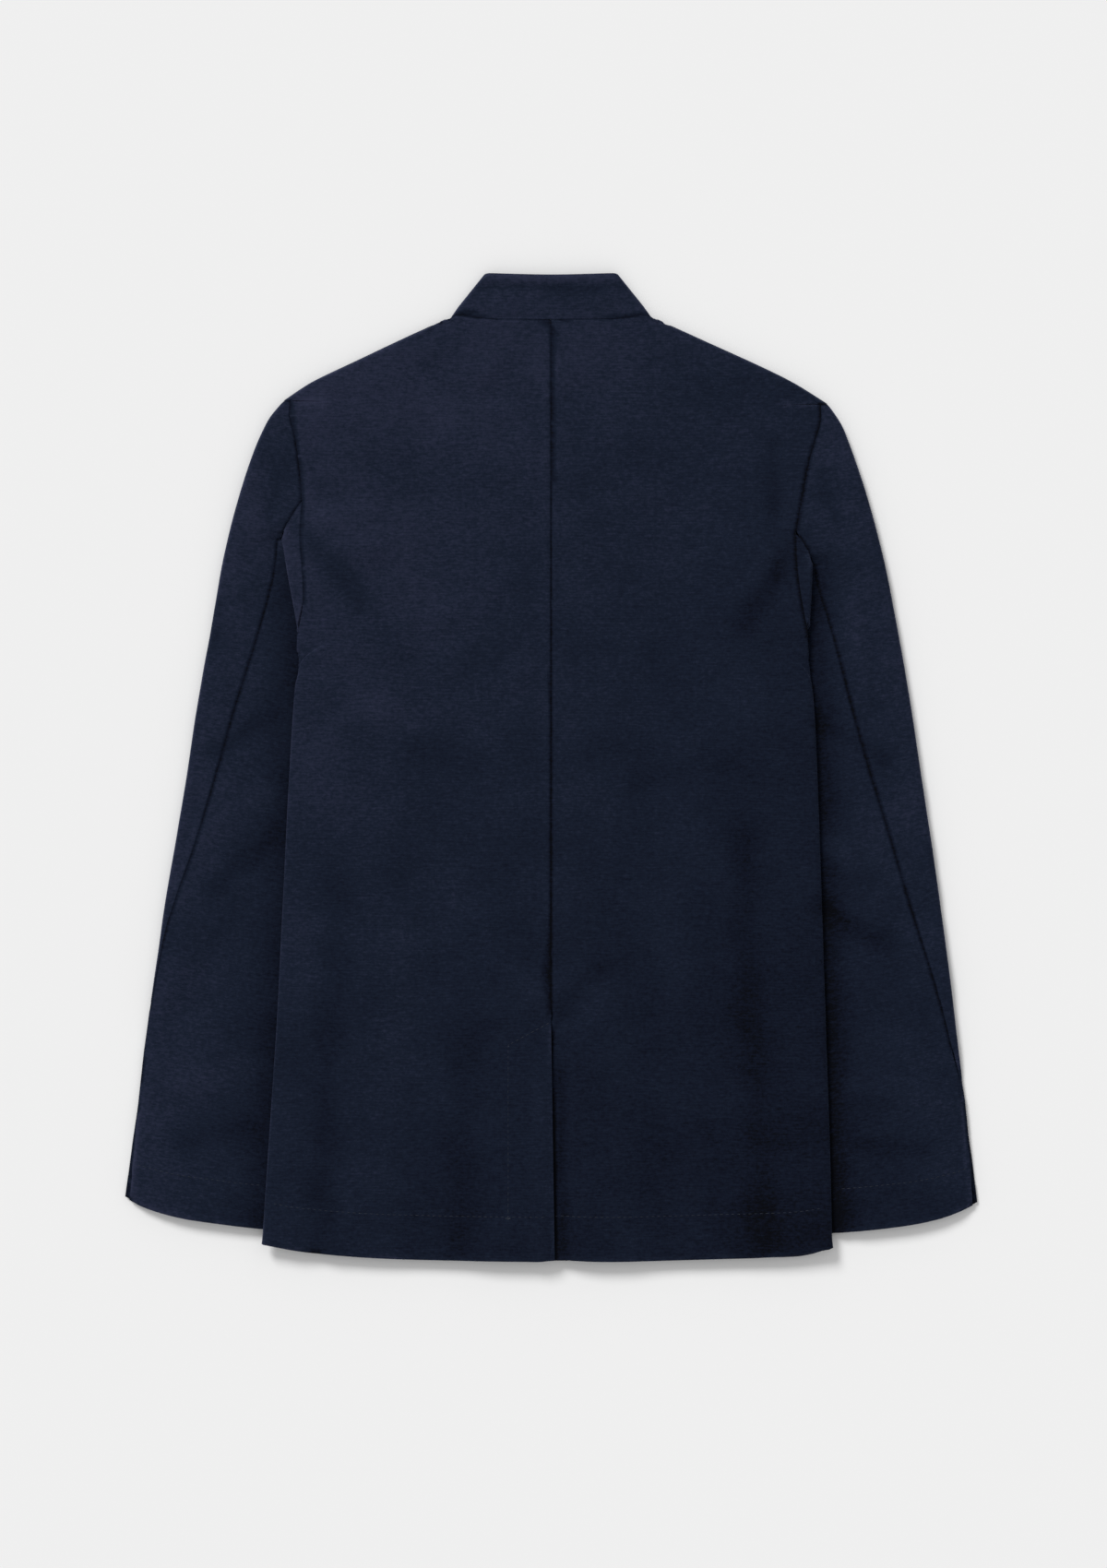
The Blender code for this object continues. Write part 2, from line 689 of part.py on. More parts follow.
def make_sleeve_top(half):
    """The top sleeve, from the armhole and the hind-arm seam round the outer fold to the forearm seam."""
    armhole, hind = armhole_rows(half) + lower_rows(half), sleeve_rows(half)
    starts = armhole + hind
    finishes = [underside_y(half, y) for y in armhole] + [forearm_y(half, y) for y in hind]
    junction = half.armhole.at[0]

    def start_of(y, row, section):
        if row < len(armhole):
            seam = half.armhole if y >= junction else half.lower_armhole
            return section.on_top(float(seam(max(y, half.armpit))) + SEAM_GAP / 2)
        if starts[row] > half.vent_top:
            return section.turn - half.hind_seam(y) + half_gap(y, half.hind_crossing)
        return section.underneath(half.outer(y))

    def finish_of(y, row, section):
        if row < len(armhole):
            return section.underneath(half.front_armhole(max(y, half.underarm)) + SEAM_GAP / 2)
        return section.underneath(forearm(half, y) + SEAM_GAP / 2)

    def place(row, share):
        level_y = starts[row] + (finishes[row] - starts[row]) * share
        y = level_y
        for _ in range(2):
            section = sleeve_section(half, y)
            point = section.point(start_of(y, row, section), finish_of(y, row, section), share)
            y = eased(level_y, CUFF_Y, half.cuff, point[0])
        return y, *point

    return panel(f"sleeve_{half.name}_top", half, len(starts), 12, place)


def make_sleeve_under(half):
    """The undersleeve, from the forearm seam round the hidden inner fold to the hind-arm seam."""
    hind = sleeve_rows(half)

    def ends(y, row, section):
        if hind[row] > half.vent_top:
            finish = section.turn - half.hind_seam(y) - half_gap(y, half.hind_crossing)
        else:
            past = CUFF_LAP * (half.vent_top - y) / (half.vent_top - CUFF_Y)
            finish = section.where(2, 2, half.outer(y) - past)
        return SEAM_GAP / 2, finish

    def column_top(share):
        """How far up a column reaches, from 0 at the underarm to 1 at the armpit."""
        section = under_section(half, half.underarm)
        out = section.point(*ends(half.underarm, 0, section), share)[0]
        reach = (underarm_line(half, out) - half.underarm) / (half.armpit - half.underarm)
        return float(reach) * (share > 0.2)

    def place(row, share):
        climb = column_top(share) if share < 1 else 1.0
        low = forearm_y(half, hind[row])
        level_y = low + (hind[row] - low) * climb
        y = level_y
        for _ in range(2):
            section = under_section(half, y)
            point = section.point(*ends(y, row, section), share)
            y = eased(level_y, CUFF_Y, half.cuff, point[0])
        return y, *point

    return panel(f"sleeve_{half.name}_under", half, len(hind), 11, place)


def collar_sections(half):
    """(base, top, facing) of each section of half the collar, from the centre front to the centre back."""
    sections = []
    for out in (0.4, 2.0, 5.0, 9.0, COLLAR_END_RADIUS):
        round_off = COLLAR_END_RADIUS - math.sqrt(
            max(0.0, COLLAR_END_RADIUS**2 - (COLLAR_END_RADIUS - out) ** 2)
        )
        base_y = float(np.interp(out, [NECKLINE[0][0], NECKLINE[1][0]], [NECKLINE[0][1], NECKLINE[1][1]]))
        sections.append(((out, base_y), (out * 0.8, base_y + COLLAR_HEIGHT - round_off), 0.0))
    spots = np.array(NECKLINE[1:])
    for i in range(1, len(spots) - 1):
        ahead = spots[i + 1] - spots[i - 1]
        inwards = np.array([-ahead[1], ahead[0]]) / np.hypot(*ahead)
        sections.append((spots[i], spots[i] + COLLAR_HEIGHT * inwards, 0.0))
    run = COLLAR_TOP_CORNER - COLLAR_BASE_CORNER
    run = run / np.hypot(*run)
    outwards = np.array([run[1], -run[0]])
    creep = run[0] / outwards[0]
    for angle in np.linspace(0, math.pi, 8):
        inset = COLLAR_FOLD_RADIUS * (math.sin(angle) - 1)
        shift = inset * outwards - creep * COLLAR_FOLD_RADIUS * (angle - math.pi / 2) * run
        sections.append((COLLAR_BASE_CORNER + shift, COLLAR_TOP_CORNER + shift, angle))
    last_base, last_top = sections[-1][:2]
    for share in (0.75, 0.5, 0.25, 0.0):
        base_out, top_out = last_base[0] * share, last_top[0] * share
        dip = 1.5 * (1 - share)
        sections.append(((base_out, neck_curve(base_out)), (top_out, last_top[1] - dip), math.pi))
    return sections, outwards


def collar_line(half):
    """Rows of (outside, inside) points across the collar, for one half."""
    sections, outwards = collar_sections(half)
    lines = []
    for base, top, angle in sections:
        facing = np.array([outwards[0] * math.sin(angle), outwards[1] * math.sin(angle), -math.cos(angle)])
        height = COLLAR_FOLD_RADIUS * (1 - math.cos(angle))
        line = []
        for share in np.linspace(0, 1, 4):
            out, y = np.array(base) * (1 - share) + np.array(top) * share
            lift = LAP_RISE * (1 - smooth(20, 40, out)) if half is RIGHT and angle == 0 else 0.0
            spot = np.array([out, y, height + lift])
            inner = spot - CLOTH * facing
            spot[0] *= half.sign
            inner[0] *= half.sign
            line.append((spot, inner))
        lines.append(line)
    return lines


def make_collar():
    lines = collar_line(LEFT) + collar_line(RIGHT)[-2::-1]
    outside = [[spot for spot, _ in line] for line in lines]
    inside = [[inner for _, inner in line] for line in lines]
    return wall("collar", outside, inside)


def make_button(number, y):
    form = bmesh.new()
    bmesh.ops.create_cone(
        form, cap_ends=True, segments=20, radius1=BUTTON_RADIUS, radius2=BUTTON_RADIUS, depth=BUTTON_THICK
    )
    bmesh.ops.translate(form, vec=(0, y, BUTTON_THICK / 2), verts=form.verts)
    rims = [edge for edge in form.edges if abs(edge.verts[0].co.z - edge.verts[1].co.z) < 0.1]
    bmesh.ops.bevel(form, geom=rims, offset=0.7, segments=1, affect="EDGES")
    bmesh.ops.scale(form, vec=(MM, MM, MM), verts=form.verts)
    mesh = bpy.data.meshes.new(f"button_{number}")
    form.to_mesh(mesh)
    form.free()
    mesh.shade_smooth()
    mesh.set_sharp_from_angle(angle=math.radians(30))
    return add_object(f"button_{number}", mesh, BUTTON_NAVY, 0.45)


def centre_footprint(pieces):
    """Moves the meshes so that the jacket's box stands on the origin, middle to middle."""
    points = np.array([vertex.co for piece in pieces for vertex in piece.data.vertices])
    low, high = points.min(axis=0), points.max(axis=0)
    shift = -(low + high) / 2
    shift[2] = -low[2]
    for piece in pieces:
        piece.data.transform(Matrix.Translation(shift.tolist()))


def main():
    for thing in list(bpy.data.objects):
        bpy.data.objects.remove(thing, do_unlink=True)
    pieces = []
    for half in (LEFT, RIGHT):
        pieces += [make_back(half), make_side(half), make_front(half)]
        pieces += [make_sleeve_top(half), make_sleeve_under(half)]
    pieces.append(make_collar())
    pieces += [make_button(number, y) for number, y in enumerate(BUTTON_YS, start=1)]
    centre_footprint(pieces)


main()
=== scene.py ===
# %% [markdown]
# # A nehru jacket, laid flat and face down
#
# The object is a dark navy jacket of brushed cotton with a small stand collar. It lies on its fronts, so its
# back is on top: two back panels with a seam and a vent between them, a narrow side panel round each side
# fold, and two-piece sleeves that lie beside the body and partly under it.
#
# The exact solids come first. The steps are: camera, cloth, cut pieces, creases, seams, stitches, buttons,
# floor and light.

# %% Load the frame
import math

import bmesh
import bpy
import numpy as np
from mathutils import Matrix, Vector
from mathutils.bvhtree import BVHTree
from mathutils.kdtree import KDTree


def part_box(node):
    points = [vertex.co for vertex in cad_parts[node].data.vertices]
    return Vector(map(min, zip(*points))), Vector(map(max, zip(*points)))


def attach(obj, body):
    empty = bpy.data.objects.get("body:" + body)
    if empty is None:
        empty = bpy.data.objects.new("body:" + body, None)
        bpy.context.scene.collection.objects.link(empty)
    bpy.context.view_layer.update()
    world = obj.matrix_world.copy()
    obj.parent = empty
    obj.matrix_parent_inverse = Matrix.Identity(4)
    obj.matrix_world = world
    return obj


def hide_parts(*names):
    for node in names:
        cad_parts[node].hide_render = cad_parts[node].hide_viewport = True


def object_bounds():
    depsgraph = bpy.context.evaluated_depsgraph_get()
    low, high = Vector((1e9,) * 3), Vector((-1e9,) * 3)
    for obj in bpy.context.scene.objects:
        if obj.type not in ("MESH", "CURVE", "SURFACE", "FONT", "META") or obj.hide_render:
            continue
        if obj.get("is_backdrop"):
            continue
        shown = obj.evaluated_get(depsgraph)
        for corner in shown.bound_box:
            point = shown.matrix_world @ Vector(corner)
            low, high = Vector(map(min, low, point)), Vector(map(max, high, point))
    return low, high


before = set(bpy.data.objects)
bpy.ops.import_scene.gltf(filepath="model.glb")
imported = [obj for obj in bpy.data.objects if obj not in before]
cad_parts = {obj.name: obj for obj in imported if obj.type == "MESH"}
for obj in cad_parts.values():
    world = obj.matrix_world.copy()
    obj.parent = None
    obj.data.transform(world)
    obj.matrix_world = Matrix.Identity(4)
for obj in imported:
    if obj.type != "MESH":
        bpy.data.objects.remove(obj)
cad_low, cad_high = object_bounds()
MM = 0.001
print("solids in the frame:", len(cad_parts))
print("box of the jacket, mm:", [round(size / MM, 1) for size in cad_high - cad_low])

# %% [markdown]
# ## The camera
#
# Flat garments are usually shown from straight above, because the outline is then the cut. A camera in
# Blender looks down its own -Z, so with no rotation at all it already looks straight down with +Y at the top
# of the picture. A long lens from far away keeps the edges of the jacket nearly free of perspective.

# %% Camera
CAMERA_RISE = 2.898  # above the jacket's highest point
CAMERA_PLACE = (0.0018, -0.0130)

camera_data = bpy.data.cameras.new("camera_above")
camera_data.lens = 85
camera_data.sensor_width = 36
camera = bpy.data.objects.new("camera_above", camera_data)
camera.location = (*CAMERA_PLACE, cad_high.z + CAMERA_RISE)
bpy.context.scene.collection.objects.link(camera)
bpy.context.scene.camera = camera
print("the camera stands", round(camera.location.z, 3), "m above the floor")

# %% [markdown]
# ## The cloth's finish
#
# Brushed cotton has a short nap. From close by it shows slubs, which are thicker bits of yarn that run with
# the weft, and from further off it looks clouded, because the nap lies in different directions. It hardly
# shines, but the fibres at its edges catch light, which a sheen layer gives.
#
# The finish could be one flat colour with a bump on it, but the eye reads that as plastic. Here one number,
# the brightness of the cloth at a place, is added up from clouds, slubs, ribs and nap, and a colour ramp turns it
# into navy. The same slubs and nap drive the bump, so colour and relief agree. Three attributes of the mesh
# lighten the rubbed edges and paint a sheen over the folds, darken the seams' lines and paint shade into the
# insides of folds, and make each piece paler or darker with the lie of its nap and with painted light that
# falls from one side to the other.

# %% Small helpers for shader nodes
def shader_node(tree, kind, label, inputs=None, **settings):
    """A new node with its sockets and settings filled in."""
    node = tree.nodes.new(kind)
    node.label = label
    for name, value in settings.items():
        setattr(node, name, value)
    for name, value in (inputs or {}).items():
        node.inputs[name].default_value = value
    return node


def add_up(tree, label, start, *parts):
    """start plus each (value, weight), as a chain of Math nodes."""
    total = None
    for value, weight in parts:
        step = shader_node(tree, "ShaderNodeMath", label, operation="MULTIPLY_ADD")
        tree.links.new(value, step.inputs[0])
        step.inputs[1].default_value = weight
        step.inputs[2].default_value = start
        if total is not None:
            tree.links.new(total, step.inputs[2])
        total = step.outputs[0]
    return total


def new_finish(name):
    """A new material, its node tree, its shader and the places in the jacket as coordinates."""
    material = bpy.data.materials.new(name)
    material.use_nodes = True
    tree = material.node_tree
    place = shader_node(tree, "ShaderNodeTexCoord", "place in the jacket")
    return material, tree, tree.nodes["Principled BSDF"], place.outputs["Object"]


def coloured(tree, label, value, *stops):
    """Colours the shader by a value, through a ramp of (position, colour) stops from 0 to 1."""
    ramp = shader_node(tree, "ShaderNodeValToRGB", label)
    elements = ramp.color_ramp.elements
    elements[0].color, elements[1].color = stops[0][1], stops[-1][1]
    for position, colour in stops[1:-1]:
        elements.new(position).color = colour
    tree.links.new(value, ramp.inputs["Fac"])
    tree.links.new(ramp.outputs["Color"], tree.nodes["Principled BSDF"].inputs["Base Color"])


def in_relief(tree, label, height, strength, distance):
    """Gives the shader a bump of this height."""
    bump = shader_node(tree, "ShaderNodeBump", label, {"Strength": strength, "Distance": distance})
    tree.links.new(height, bump.inputs["Height"])
    tree.links.new(bump.outputs["Normal"], tree.nodes["Principled BSDF"].inputs["Normal"])


print("helpers ready")

# %% Textures of the cloth
def noise_on(tree, label, coordinates, size, detail, roughness=0.55):
    """Noise whose blotches have this size (x, y, z) in metres."""
    place = shader_node(tree, "ShaderNodeMapping", label, {"Scale": [1 / side for side in size]})
    tree.links.new(coordinates, place.inputs["Vector"])
    noise = shader_node(
        tree, "ShaderNodeTexNoise", label, {"Scale": 1.0, "Detail": detail, "Roughness": roughness}
    )
    tree.links.new(place.outputs["Vector"], noise.inputs["Vector"])
    return noise.outputs["Fac"]


def ribs_on(tree, coordinates, pitch):
    """The fine weft ribs. Blender's wave has 20 radians to a unit, so its scale comes from the pitch."""
    wave = shader_node(
        tree, "ShaderNodeTexWave", "weft ribs",
        {"Scale": 2 * math.pi / 20 / pitch, "Distortion": 1.6, "Detail": 2.0, "Detail Scale": 0.4},
        bands_direction="Y",
    )
    tree.links.new(coordinates, wave.inputs["Vector"])
    return wave.outputs["Fac"]


print("textures ready")

# %% Brushed cotton
# The darkest colour is for the seams' dark lines and for painted shade; the lightest for rubbed edges, painted
# sheen and painted light
NAVY_PAINTED_SHADE = (0.0006, 0.0010, 0.0028, 1.0)
NAVY_DARK = (0.0028, 0.0046, 0.0124, 1.0)
NAVY = (0.0068, 0.0110, 0.0238, 1.0)
NAVY_WORN_AND_LIT = (0.0240, 0.0275, 0.0560, 1.0)
NAP_TINT = (0.42, 0.52, 0.90, 1.0)
# Sizes of the blotches in metres, along the weft, across it and in height
CLOUD_SIZE = (0.070, 0.050, 0.050)
SLUB_SIZE = (0.008, 0.0013, 0.0013)
NAP_SIZE = (0.0030, 0.0022, 0.0022)
RIB_PITCH = 0.0011


def brushed_cotton(name, lean):
    """The jacket's cloth, its weft turned by lean from the x axis."""
    material, tree, shader, place = new_finish(name)
    turned = shader_node(tree, "ShaderNodeMapping", "along the weft", {"Rotation": (0, 0, -lean)})
    tree.links.new(place, turned.inputs["Vector"])
    along = turned.outputs["Vector"]

    clouds = noise_on(tree, "clouds", along, CLOUD_SIZE, 3.0)
    slubs = noise_on(tree, "slubs", along, SLUB_SIZE, 3.0, 0.6)
    nap = noise_on(tree, "nap", along, NAP_SIZE, 5.0, 0.7)
    ribs = ribs_on(tree, along, RIB_PITCH)
    # Rubbed edges, with a painted sheen over folds and painted highlights along the tops of creases and on rolled
    # edges
    wear_and_sheen = shader_node(tree, "ShaderNodeAttribute", "worn edges and painted sheen", attribute_name="wear_and_painted_sheen")
    # The seams' dark lines, with painted shade in troughs and beside other layers
    seam_lines_and_painted_shade = shader_node(tree, "ShaderNodeAttribute", "seam lines and painted shade", attribute_name="seam_lines_and_painted_shade")
    # The nap's tone, with painted light that falls from one side of the jacket to the other
    nap_light = shader_node(tree, "ShaderNodeAttribute", "nap and painted light", attribute_name="nap_and_painted_light")

    # Of these, the last three paint sheen, shade and light into the colour, besides rubbing, seam lines and nap
    brightness = add_up(
        tree, "brightness", -0.42,
        (clouds, 0.30), (slubs, 0.52), (nap, 0.90), (ribs, 0.06),
        (wear_and_sheen.outputs["Fac"], 0.34), (seam_lines_and_painted_shade.outputs["Fac"], -0.50), (nap_light.outputs["Fac"], 0.22),
    )
    coloured(tree, "navy", brightness, (0, NAVY_PAINTED_SHADE), (0.20, NAVY_DARK), (0.52, NAVY), (1, NAVY_WORN_AND_LIT))

    dullness = add_up(tree, "dullness", 0.80, (nap, 0.22), (wear_and_sheen.outputs["Fac"], -0.06))
    tree.links.new(dullness, shader.inputs["Roughness"])
    height = add_up(tree, "height", 0.0, (slubs, 0.55), (nap, 0.75), (ribs, 0.22))
    in_relief(tree, "relief", height, strength=0.55, distance=0.0005)

    shader.inputs["Specular IOR Level"].default_value = 0.08
    shader.inputs["Sheen Weight"].default_value = 0.10
    shader.inputs["Sheen Roughness"].default_value = 0.38
    shader.inputs["Sheen Tint"].default_value = NAP_TINT
    return material


SLEEVE_LEAN = math.radians(9)  # a sleeve's weft follows its lean from the body
cloth_of_body = brushed_cotton("brushed_cotton_body", 0.0)
cloth_of_left_sleeve = brushed_cotton("brushed_cotton_left_sleeve", -SLEEVE_LEAN)
cloth_of_right_sleeve = brushed_cotton("brushed_cotton_right_sleeve", SLEEVE_LEAN)
print("cloth finishes:", cloth_of_body.name, cloth_of_left_sleeve.name, cloth_of_right_sleeve.name)

# %% [markdown]
# ## From a solid to a piece of cloth
#
# Each cut-and-sewn piece exists in the frame as a thin faceted wall. Cloth could be simulated, but this
# jacket was laid out by hand: its form is already known, and what is missing is softness. So a copy of each
# wall is made finer, and the fine copy is relaxed until the facets are gone.
#
# A Catmull-Clark subdivision would do both at once, but it pulls a shape in wherever it bends, and the jacket
# would come out narrower than it is. Simple subdivision only adds vertices and keeps the form exactly.
# Relaxing then moves each vertex to the middle of its neighbours, a few times over. Vertices along a rim
# only follow the rim itself, so edges and seams stay where they are.

# %% Points of a mesh
def smooth(low, high, value):
    """0 up to low, 1 from high on, and a soft step between."""
    share = np.clip((value - low) / (high - low), 0.0, 1.0)
    return share * share * (3 - 2 * share)


def points_of(mesh):
    """The mesh's vertices as rows of millimetres."""
    flat = np.empty(len(mesh.vertices) * 3)
    mesh.vertices.foreach_get("co", flat)
    return flat.reshape(-1, 3) / MM


def move_points(mesh, points):
    """Gives the mesh's vertices these places, in millimetres."""
    mesh.vertices.foreach_set("co", (points * MM).ravel())
    mesh.update()


def applied(piece):
    """The piece's mesh with its modifiers applied."""
    shown = piece.evaluated_get(bpy.context.evaluated_depsgraph_get())
    return bpy.data.meshes.new_from_object(shown)


print("ready to read and move points")

# %% The rims of a wall
RIM_ANGLE = math.radians(56)
CLOTH = (1.6 * MM, 2.6 * MM)  # the two edges of a rim are a cloth's thickness apart
SQUARE = 0.35  # how far from square to the edge, or out of a face beside it, its partner may lie
SPOT_STEP = 0.7 * MM
LONGEST_STRAY = 4  # a loose row of up to so many marked edges isn't a rim


def tree_of(spots):
    """A lookup of the nearest of these spots."""
    tree = KDTree(len(spots))
    for i, spot in enumerate(spots):
        tree.insert(spot, i)
    tree.balance()
    return tree


def spots_along(edges, step, with_far_end):
    """Spots along edges, about a step apart, with or without the far end of each edge."""
    spots = []
    for edge in edges:
        a, b = (corner.co for corner in edge.verts)
        count = max(1, int((b - a).length / step))
        spots += [a.lerp(b, i / count) for i in range(count + with_far_end)]
    return spots


def marked_at(corner):
    """The marked edges that meet at a vertex."""
    return [edge for edge in corner.link_edges if edge.seam]


def row_from(corner):
    """The marked edges from a loose end to the next corner where they end or meet others."""
    row = marked_at(corner)
    while True:
        corner = row[-1].other_vert(corner)
        onwards = [edge for edge in marked_at(corner) if edge is not row[-1]]
        if len(onwards) != 1:
            return row
        row += onwards


def mark_rims(form):
    """Marks as seams the sharp edges that have a partner across the thickness of the cloth."""
    sharp = [edge for edge in form.edges if edge.calc_face_angle(0.0) > RIM_ANGLE]
    tree = tree_of(spots_along(sharp, SPOT_STEP, with_far_end=True))
    for edge in sharp:
        a, b = (corner.co for corner in edge.verts)
        along = (b - a).normalized()
        for spot, _, away in tree.find_range((a + b) / 2, CLOTH[1]):
            across = (spot - (a + b) / 2).normalized()
            in_face = min(abs(face.normal.dot(across)) for face in edge.link_faces) < SQUARE
            if away > CLOTH[0] and in_face and abs(along.dot(across)) < SQUARE:
                edge.seam = True
                break
    # A rim goes all the way round, so a short row of marks with a loose end is only a sharp fold
    for corner in form.verts:
        if len(marked_at(corner)) == 1:
            row = row_from(corner)
            if len(row) <= LONGEST_STRAY:
                for edge in row:
                    edge.seam = False


def rim_edges(mesh):
    """The mesh as a bmesh, and the edges marked as its rims."""
    form = bmesh.new()
    form.from_mesh(mesh)
    return form, [edge for edge in form.edges if edge.seam]


print("the two edges of a rim are", CLOTH[0] / MM, "to", CLOTH[1] / MM, "mm apart")

# %% Relax
CORNER = 0.86  # the cosine of the turn above which a rim is straight enough to be relaxed


def rim_corners(mesh):
    """True for the vertices where a rim turns sharply or meets another."""
    form, edges = rim_edges(mesh)
    corner = np.ones(len(mesh.vertices), dtype=bool)
    for vertex in {vertex for edge in edges for vertex in edge.verts}:
        along = [edge.other_vert(vertex).co - vertex.co for edge in vertex.link_edges if edge.seam]
        if len(along) == 2:
            corner[vertex.index] = -along[0].normalized().dot(along[1].normalized()) < CORNER
    form.free()
    return corner


def relax(mesh, rounds, strength):
    """Moves each vertex towards the middle of its neighbours, and each rim vertex only along its rim."""
    pairs = np.empty(len(mesh.edges) * 2, dtype=np.int64)
    mesh.edges.foreach_get("vertices", pairs)
    pairs = pairs.reshape(-1, 2)
    on_rim = np.array([edge.use_seam for edge in mesh.edges])
    count = len(mesh.vertices)
    in_wall = np.bincount(pairs[on_rim].ravel(), minlength=count) == 0
    movable = in_wall | ~rim_corners(mesh)
    both = np.vstack([pairs, pairs[:, ::-1]])
    both_on_rim = np.concatenate([on_rim, on_rim])
    used = both[in_wall[both[:, 0]] | (movable[both[:, 0]] & both_on_rim)]
    neighbours = np.bincount(used[:, 0], minlength=count)
    free = neighbours > 0
    points = points_of(mesh)
    for _ in range(rounds):
        middle = np.column_stack([np.bincount(used[:, 0], points[used[:, 1], i], count) for i in range(3)])
        points[free] += strength * (middle[free] / neighbours[free, None] - points[free])
    move_points(mesh, points)


print("ready to relax a wall")

# %% A fine copy of a wall
LEVELS = 3
ROUNDS, STRENGTH = 14, 0.5
SMOOTH_JOIN = math.radians(48)


def quads_of(node):
    """The solid's mesh, merged and in quads, its rims marked."""
    form = bmesh.new()
    form.from_mesh(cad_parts[node].data)
    bmesh.ops.remove_doubles(form, verts=form.verts, dist=0.005 * MM)
    bmesh.ops.join_triangles(
        form, faces=form.faces, angle_face_threshold=SMOOTH_JOIN, angle_shape_threshold=math.pi
    )
    mark_rims(form)
    mesh = bpy.data.meshes.new(f"{node}_quads")
    form.to_mesh(mesh)
    form.free()
    return mesh


def fine_wall(node):
    """A fine, relaxed copy of a cloth wall."""
    piece = bpy.data.objects.new(f"cloth_{node}", quads_of(node))
    bpy.context.scene.collection.objects.link(piece)
    finer = piece.modifiers.new("finer", "SUBSURF")
    finer.subdivision_type = "SIMPLE"
    finer.levels = finer.render_levels = LEVELS
    mesh = applied(piece)
    piece.modifiers.clear()
    piece.data = mesh
    mesh.name = piece.name
    relax(mesh, ROUNDS, STRENGTH)
    return piece


print("each quad becomes", 4**LEVELS)

# %% Make the fine walls
CLOTH_NODES = sorted(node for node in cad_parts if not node.startswith("button"))
walls = {}
for node in CLOTH_NODES:
    walls[node] = fine_wall(node)
    rim_count = sum(edge.use_seam for edge in walls[node].data.edges)
    print(f"{node}: {len(walls[node].data.polygons)} faces, {rim_count} rim edges")

# %% [markdown]
# ## Sew the walls together
#
# The solids stand a little apart, because a physics engine needs them to. On the real jacket their edges are
# drawn together by the thread. So the rims of pieces that are sewn to each other are pulled to the middle
# of the gap between them, and the cloth beside them follows, less and less over some millimetres.
#
# A pull towards whatever is nearest would also join layers that only lie on each other, so the seams are
# listed as pairs of pieces.

# %% Which pieces share a seam
SEAMS = [("back_left", "back_right"), ("collar", "back_left"), ("collar", "back_right")]
for side in ("left", "right"):
    back, flank, front = f"back_{side}", f"side_{side}", f"front_{side}"
    top, under = f"sleeve_{side}_top", f"sleeve_{side}_under"
    SEAMS += [
        (back, front), (back, flank), (flank, front), ("collar", front), (back, top), (front, top),
        (flank, top), (flank, under), (top, under),
    ]
partners = {node: [b if a == node else a for a, b in SEAMS if node in (a, b)] for node in CLOTH_NODES}
print("seams:", len(SEAMS))

# %% Rims of the fine walls
RIM_STEP = 0.5 * MM


def rim_of(mesh):
    """(rim vertices' indices, spots along the rim)."""
    form, edges = rim_edges(mesh)
    indices = sorted({corner.index for edge in edges for corner in edge.verts})
    spots = spots_along(edges, RIM_STEP, with_far_end=False)
    form.free()
    return indices, spots


rims = {node: rim_of(piece.data) for node, piece in walls.items()}
print("spots along the rims:", sum(len(spots) for _, spots in rims.values()))

# %% Draw the seams together
SEAM_REACH, SEAM_FADE = 3.6, 0.8  # millimetres: rims further apart aren't sewn, with a short fade to that
SEAM_LEFT = -0.12  # the rims press this far into each other
FOLLOW = 9.0  # how far into the cloth the pull is felt


def pull_of(node, rim_trees):
    """The shift of each rim vertex of a wall towards its seams, in millimetres."""
    mesh = walls[node].data
    shifts = {}
    for i in rims[node][0]:
        place = mesh.vertices[i].co
        found = min((rim_trees[other].find(place) for other in partners[node]), key=lambda hit: hit[2])
        away = found[2] / MM
        held = 1 - float(smooth(SEAM_REACH - SEAM_FADE, SEAM_REACH, away))
        share = max(0.0, 0.5 - SEAM_LEFT / 2 / max(away, 0.01)) * held
        shifts[i] = np.array(found[0] - place) / MM * share
    return shifts


def draw_together(node, shifts):
    """Moves a wall's rim by its shifts, and the cloth near it less and less. Gives the largest shift."""
    mesh = walls[node].data
    points = points_of(mesh)
    held = list(shifts)
    tree = tree_of([mesh.vertices[i].co for i in held])
    table = np.array([shifts[i] for i in held])
    near = [tree.find(vertex.co)[1:] for vertex in mesh.vertices]
    which, away = np.array([hit[0] for hit in near]), np.array([hit[1] for hit in near]) / MM
    points += table[which] * (1 - smooth(0, FOLLOW, away))[:, None]
    move_points(mesh, points)
    return float(np.abs(table).max())


rim_trees = {node: tree_of(spots) for node, (_, spots) in rims.items()}
pulls = {node: pull_of(node, rim_trees) for node in walls}
for node, shifts in pulls.items():
    print(f"{node}: pulled by up to {draw_together(node, shifts):.2f} mm")

# %% Sewn rims and free rims
SEWN_WITHIN = 0.8  # a rim this near to a neighbour's, in millimetres, is sewn to it


def sewn_and_free_rims():
    """For each wall, lookups of the rim spots that are sewn to a neighbour and of those that are free."""
    spots = {node: rim_of(piece.data)[1] for node, piece in walls.items()}
    trees = {node: tree_of(spots[node]) for node in walls}
    found = {}
    for node in walls:
        sewn, free = [], []
        for spot in spots[node]:
            away = min(trees[other].find(spot)[2] for other in partners[node]) / MM
            (sewn if away < SEWN_WITHIN else free).append(spot)
        found[node] = tree_of(sewn), tree_of(free)
    return found


def distance_to(tree, mesh):
    """How far each vertex is from the spots of a lookup, in millimetres."""
    return np.array([tree.find(vertex.co)[2] for vertex in mesh.vertices]) / MM


edge_trees = sewn_and_free_rims()
print("lookups ready for", len(edge_trees), "walls")
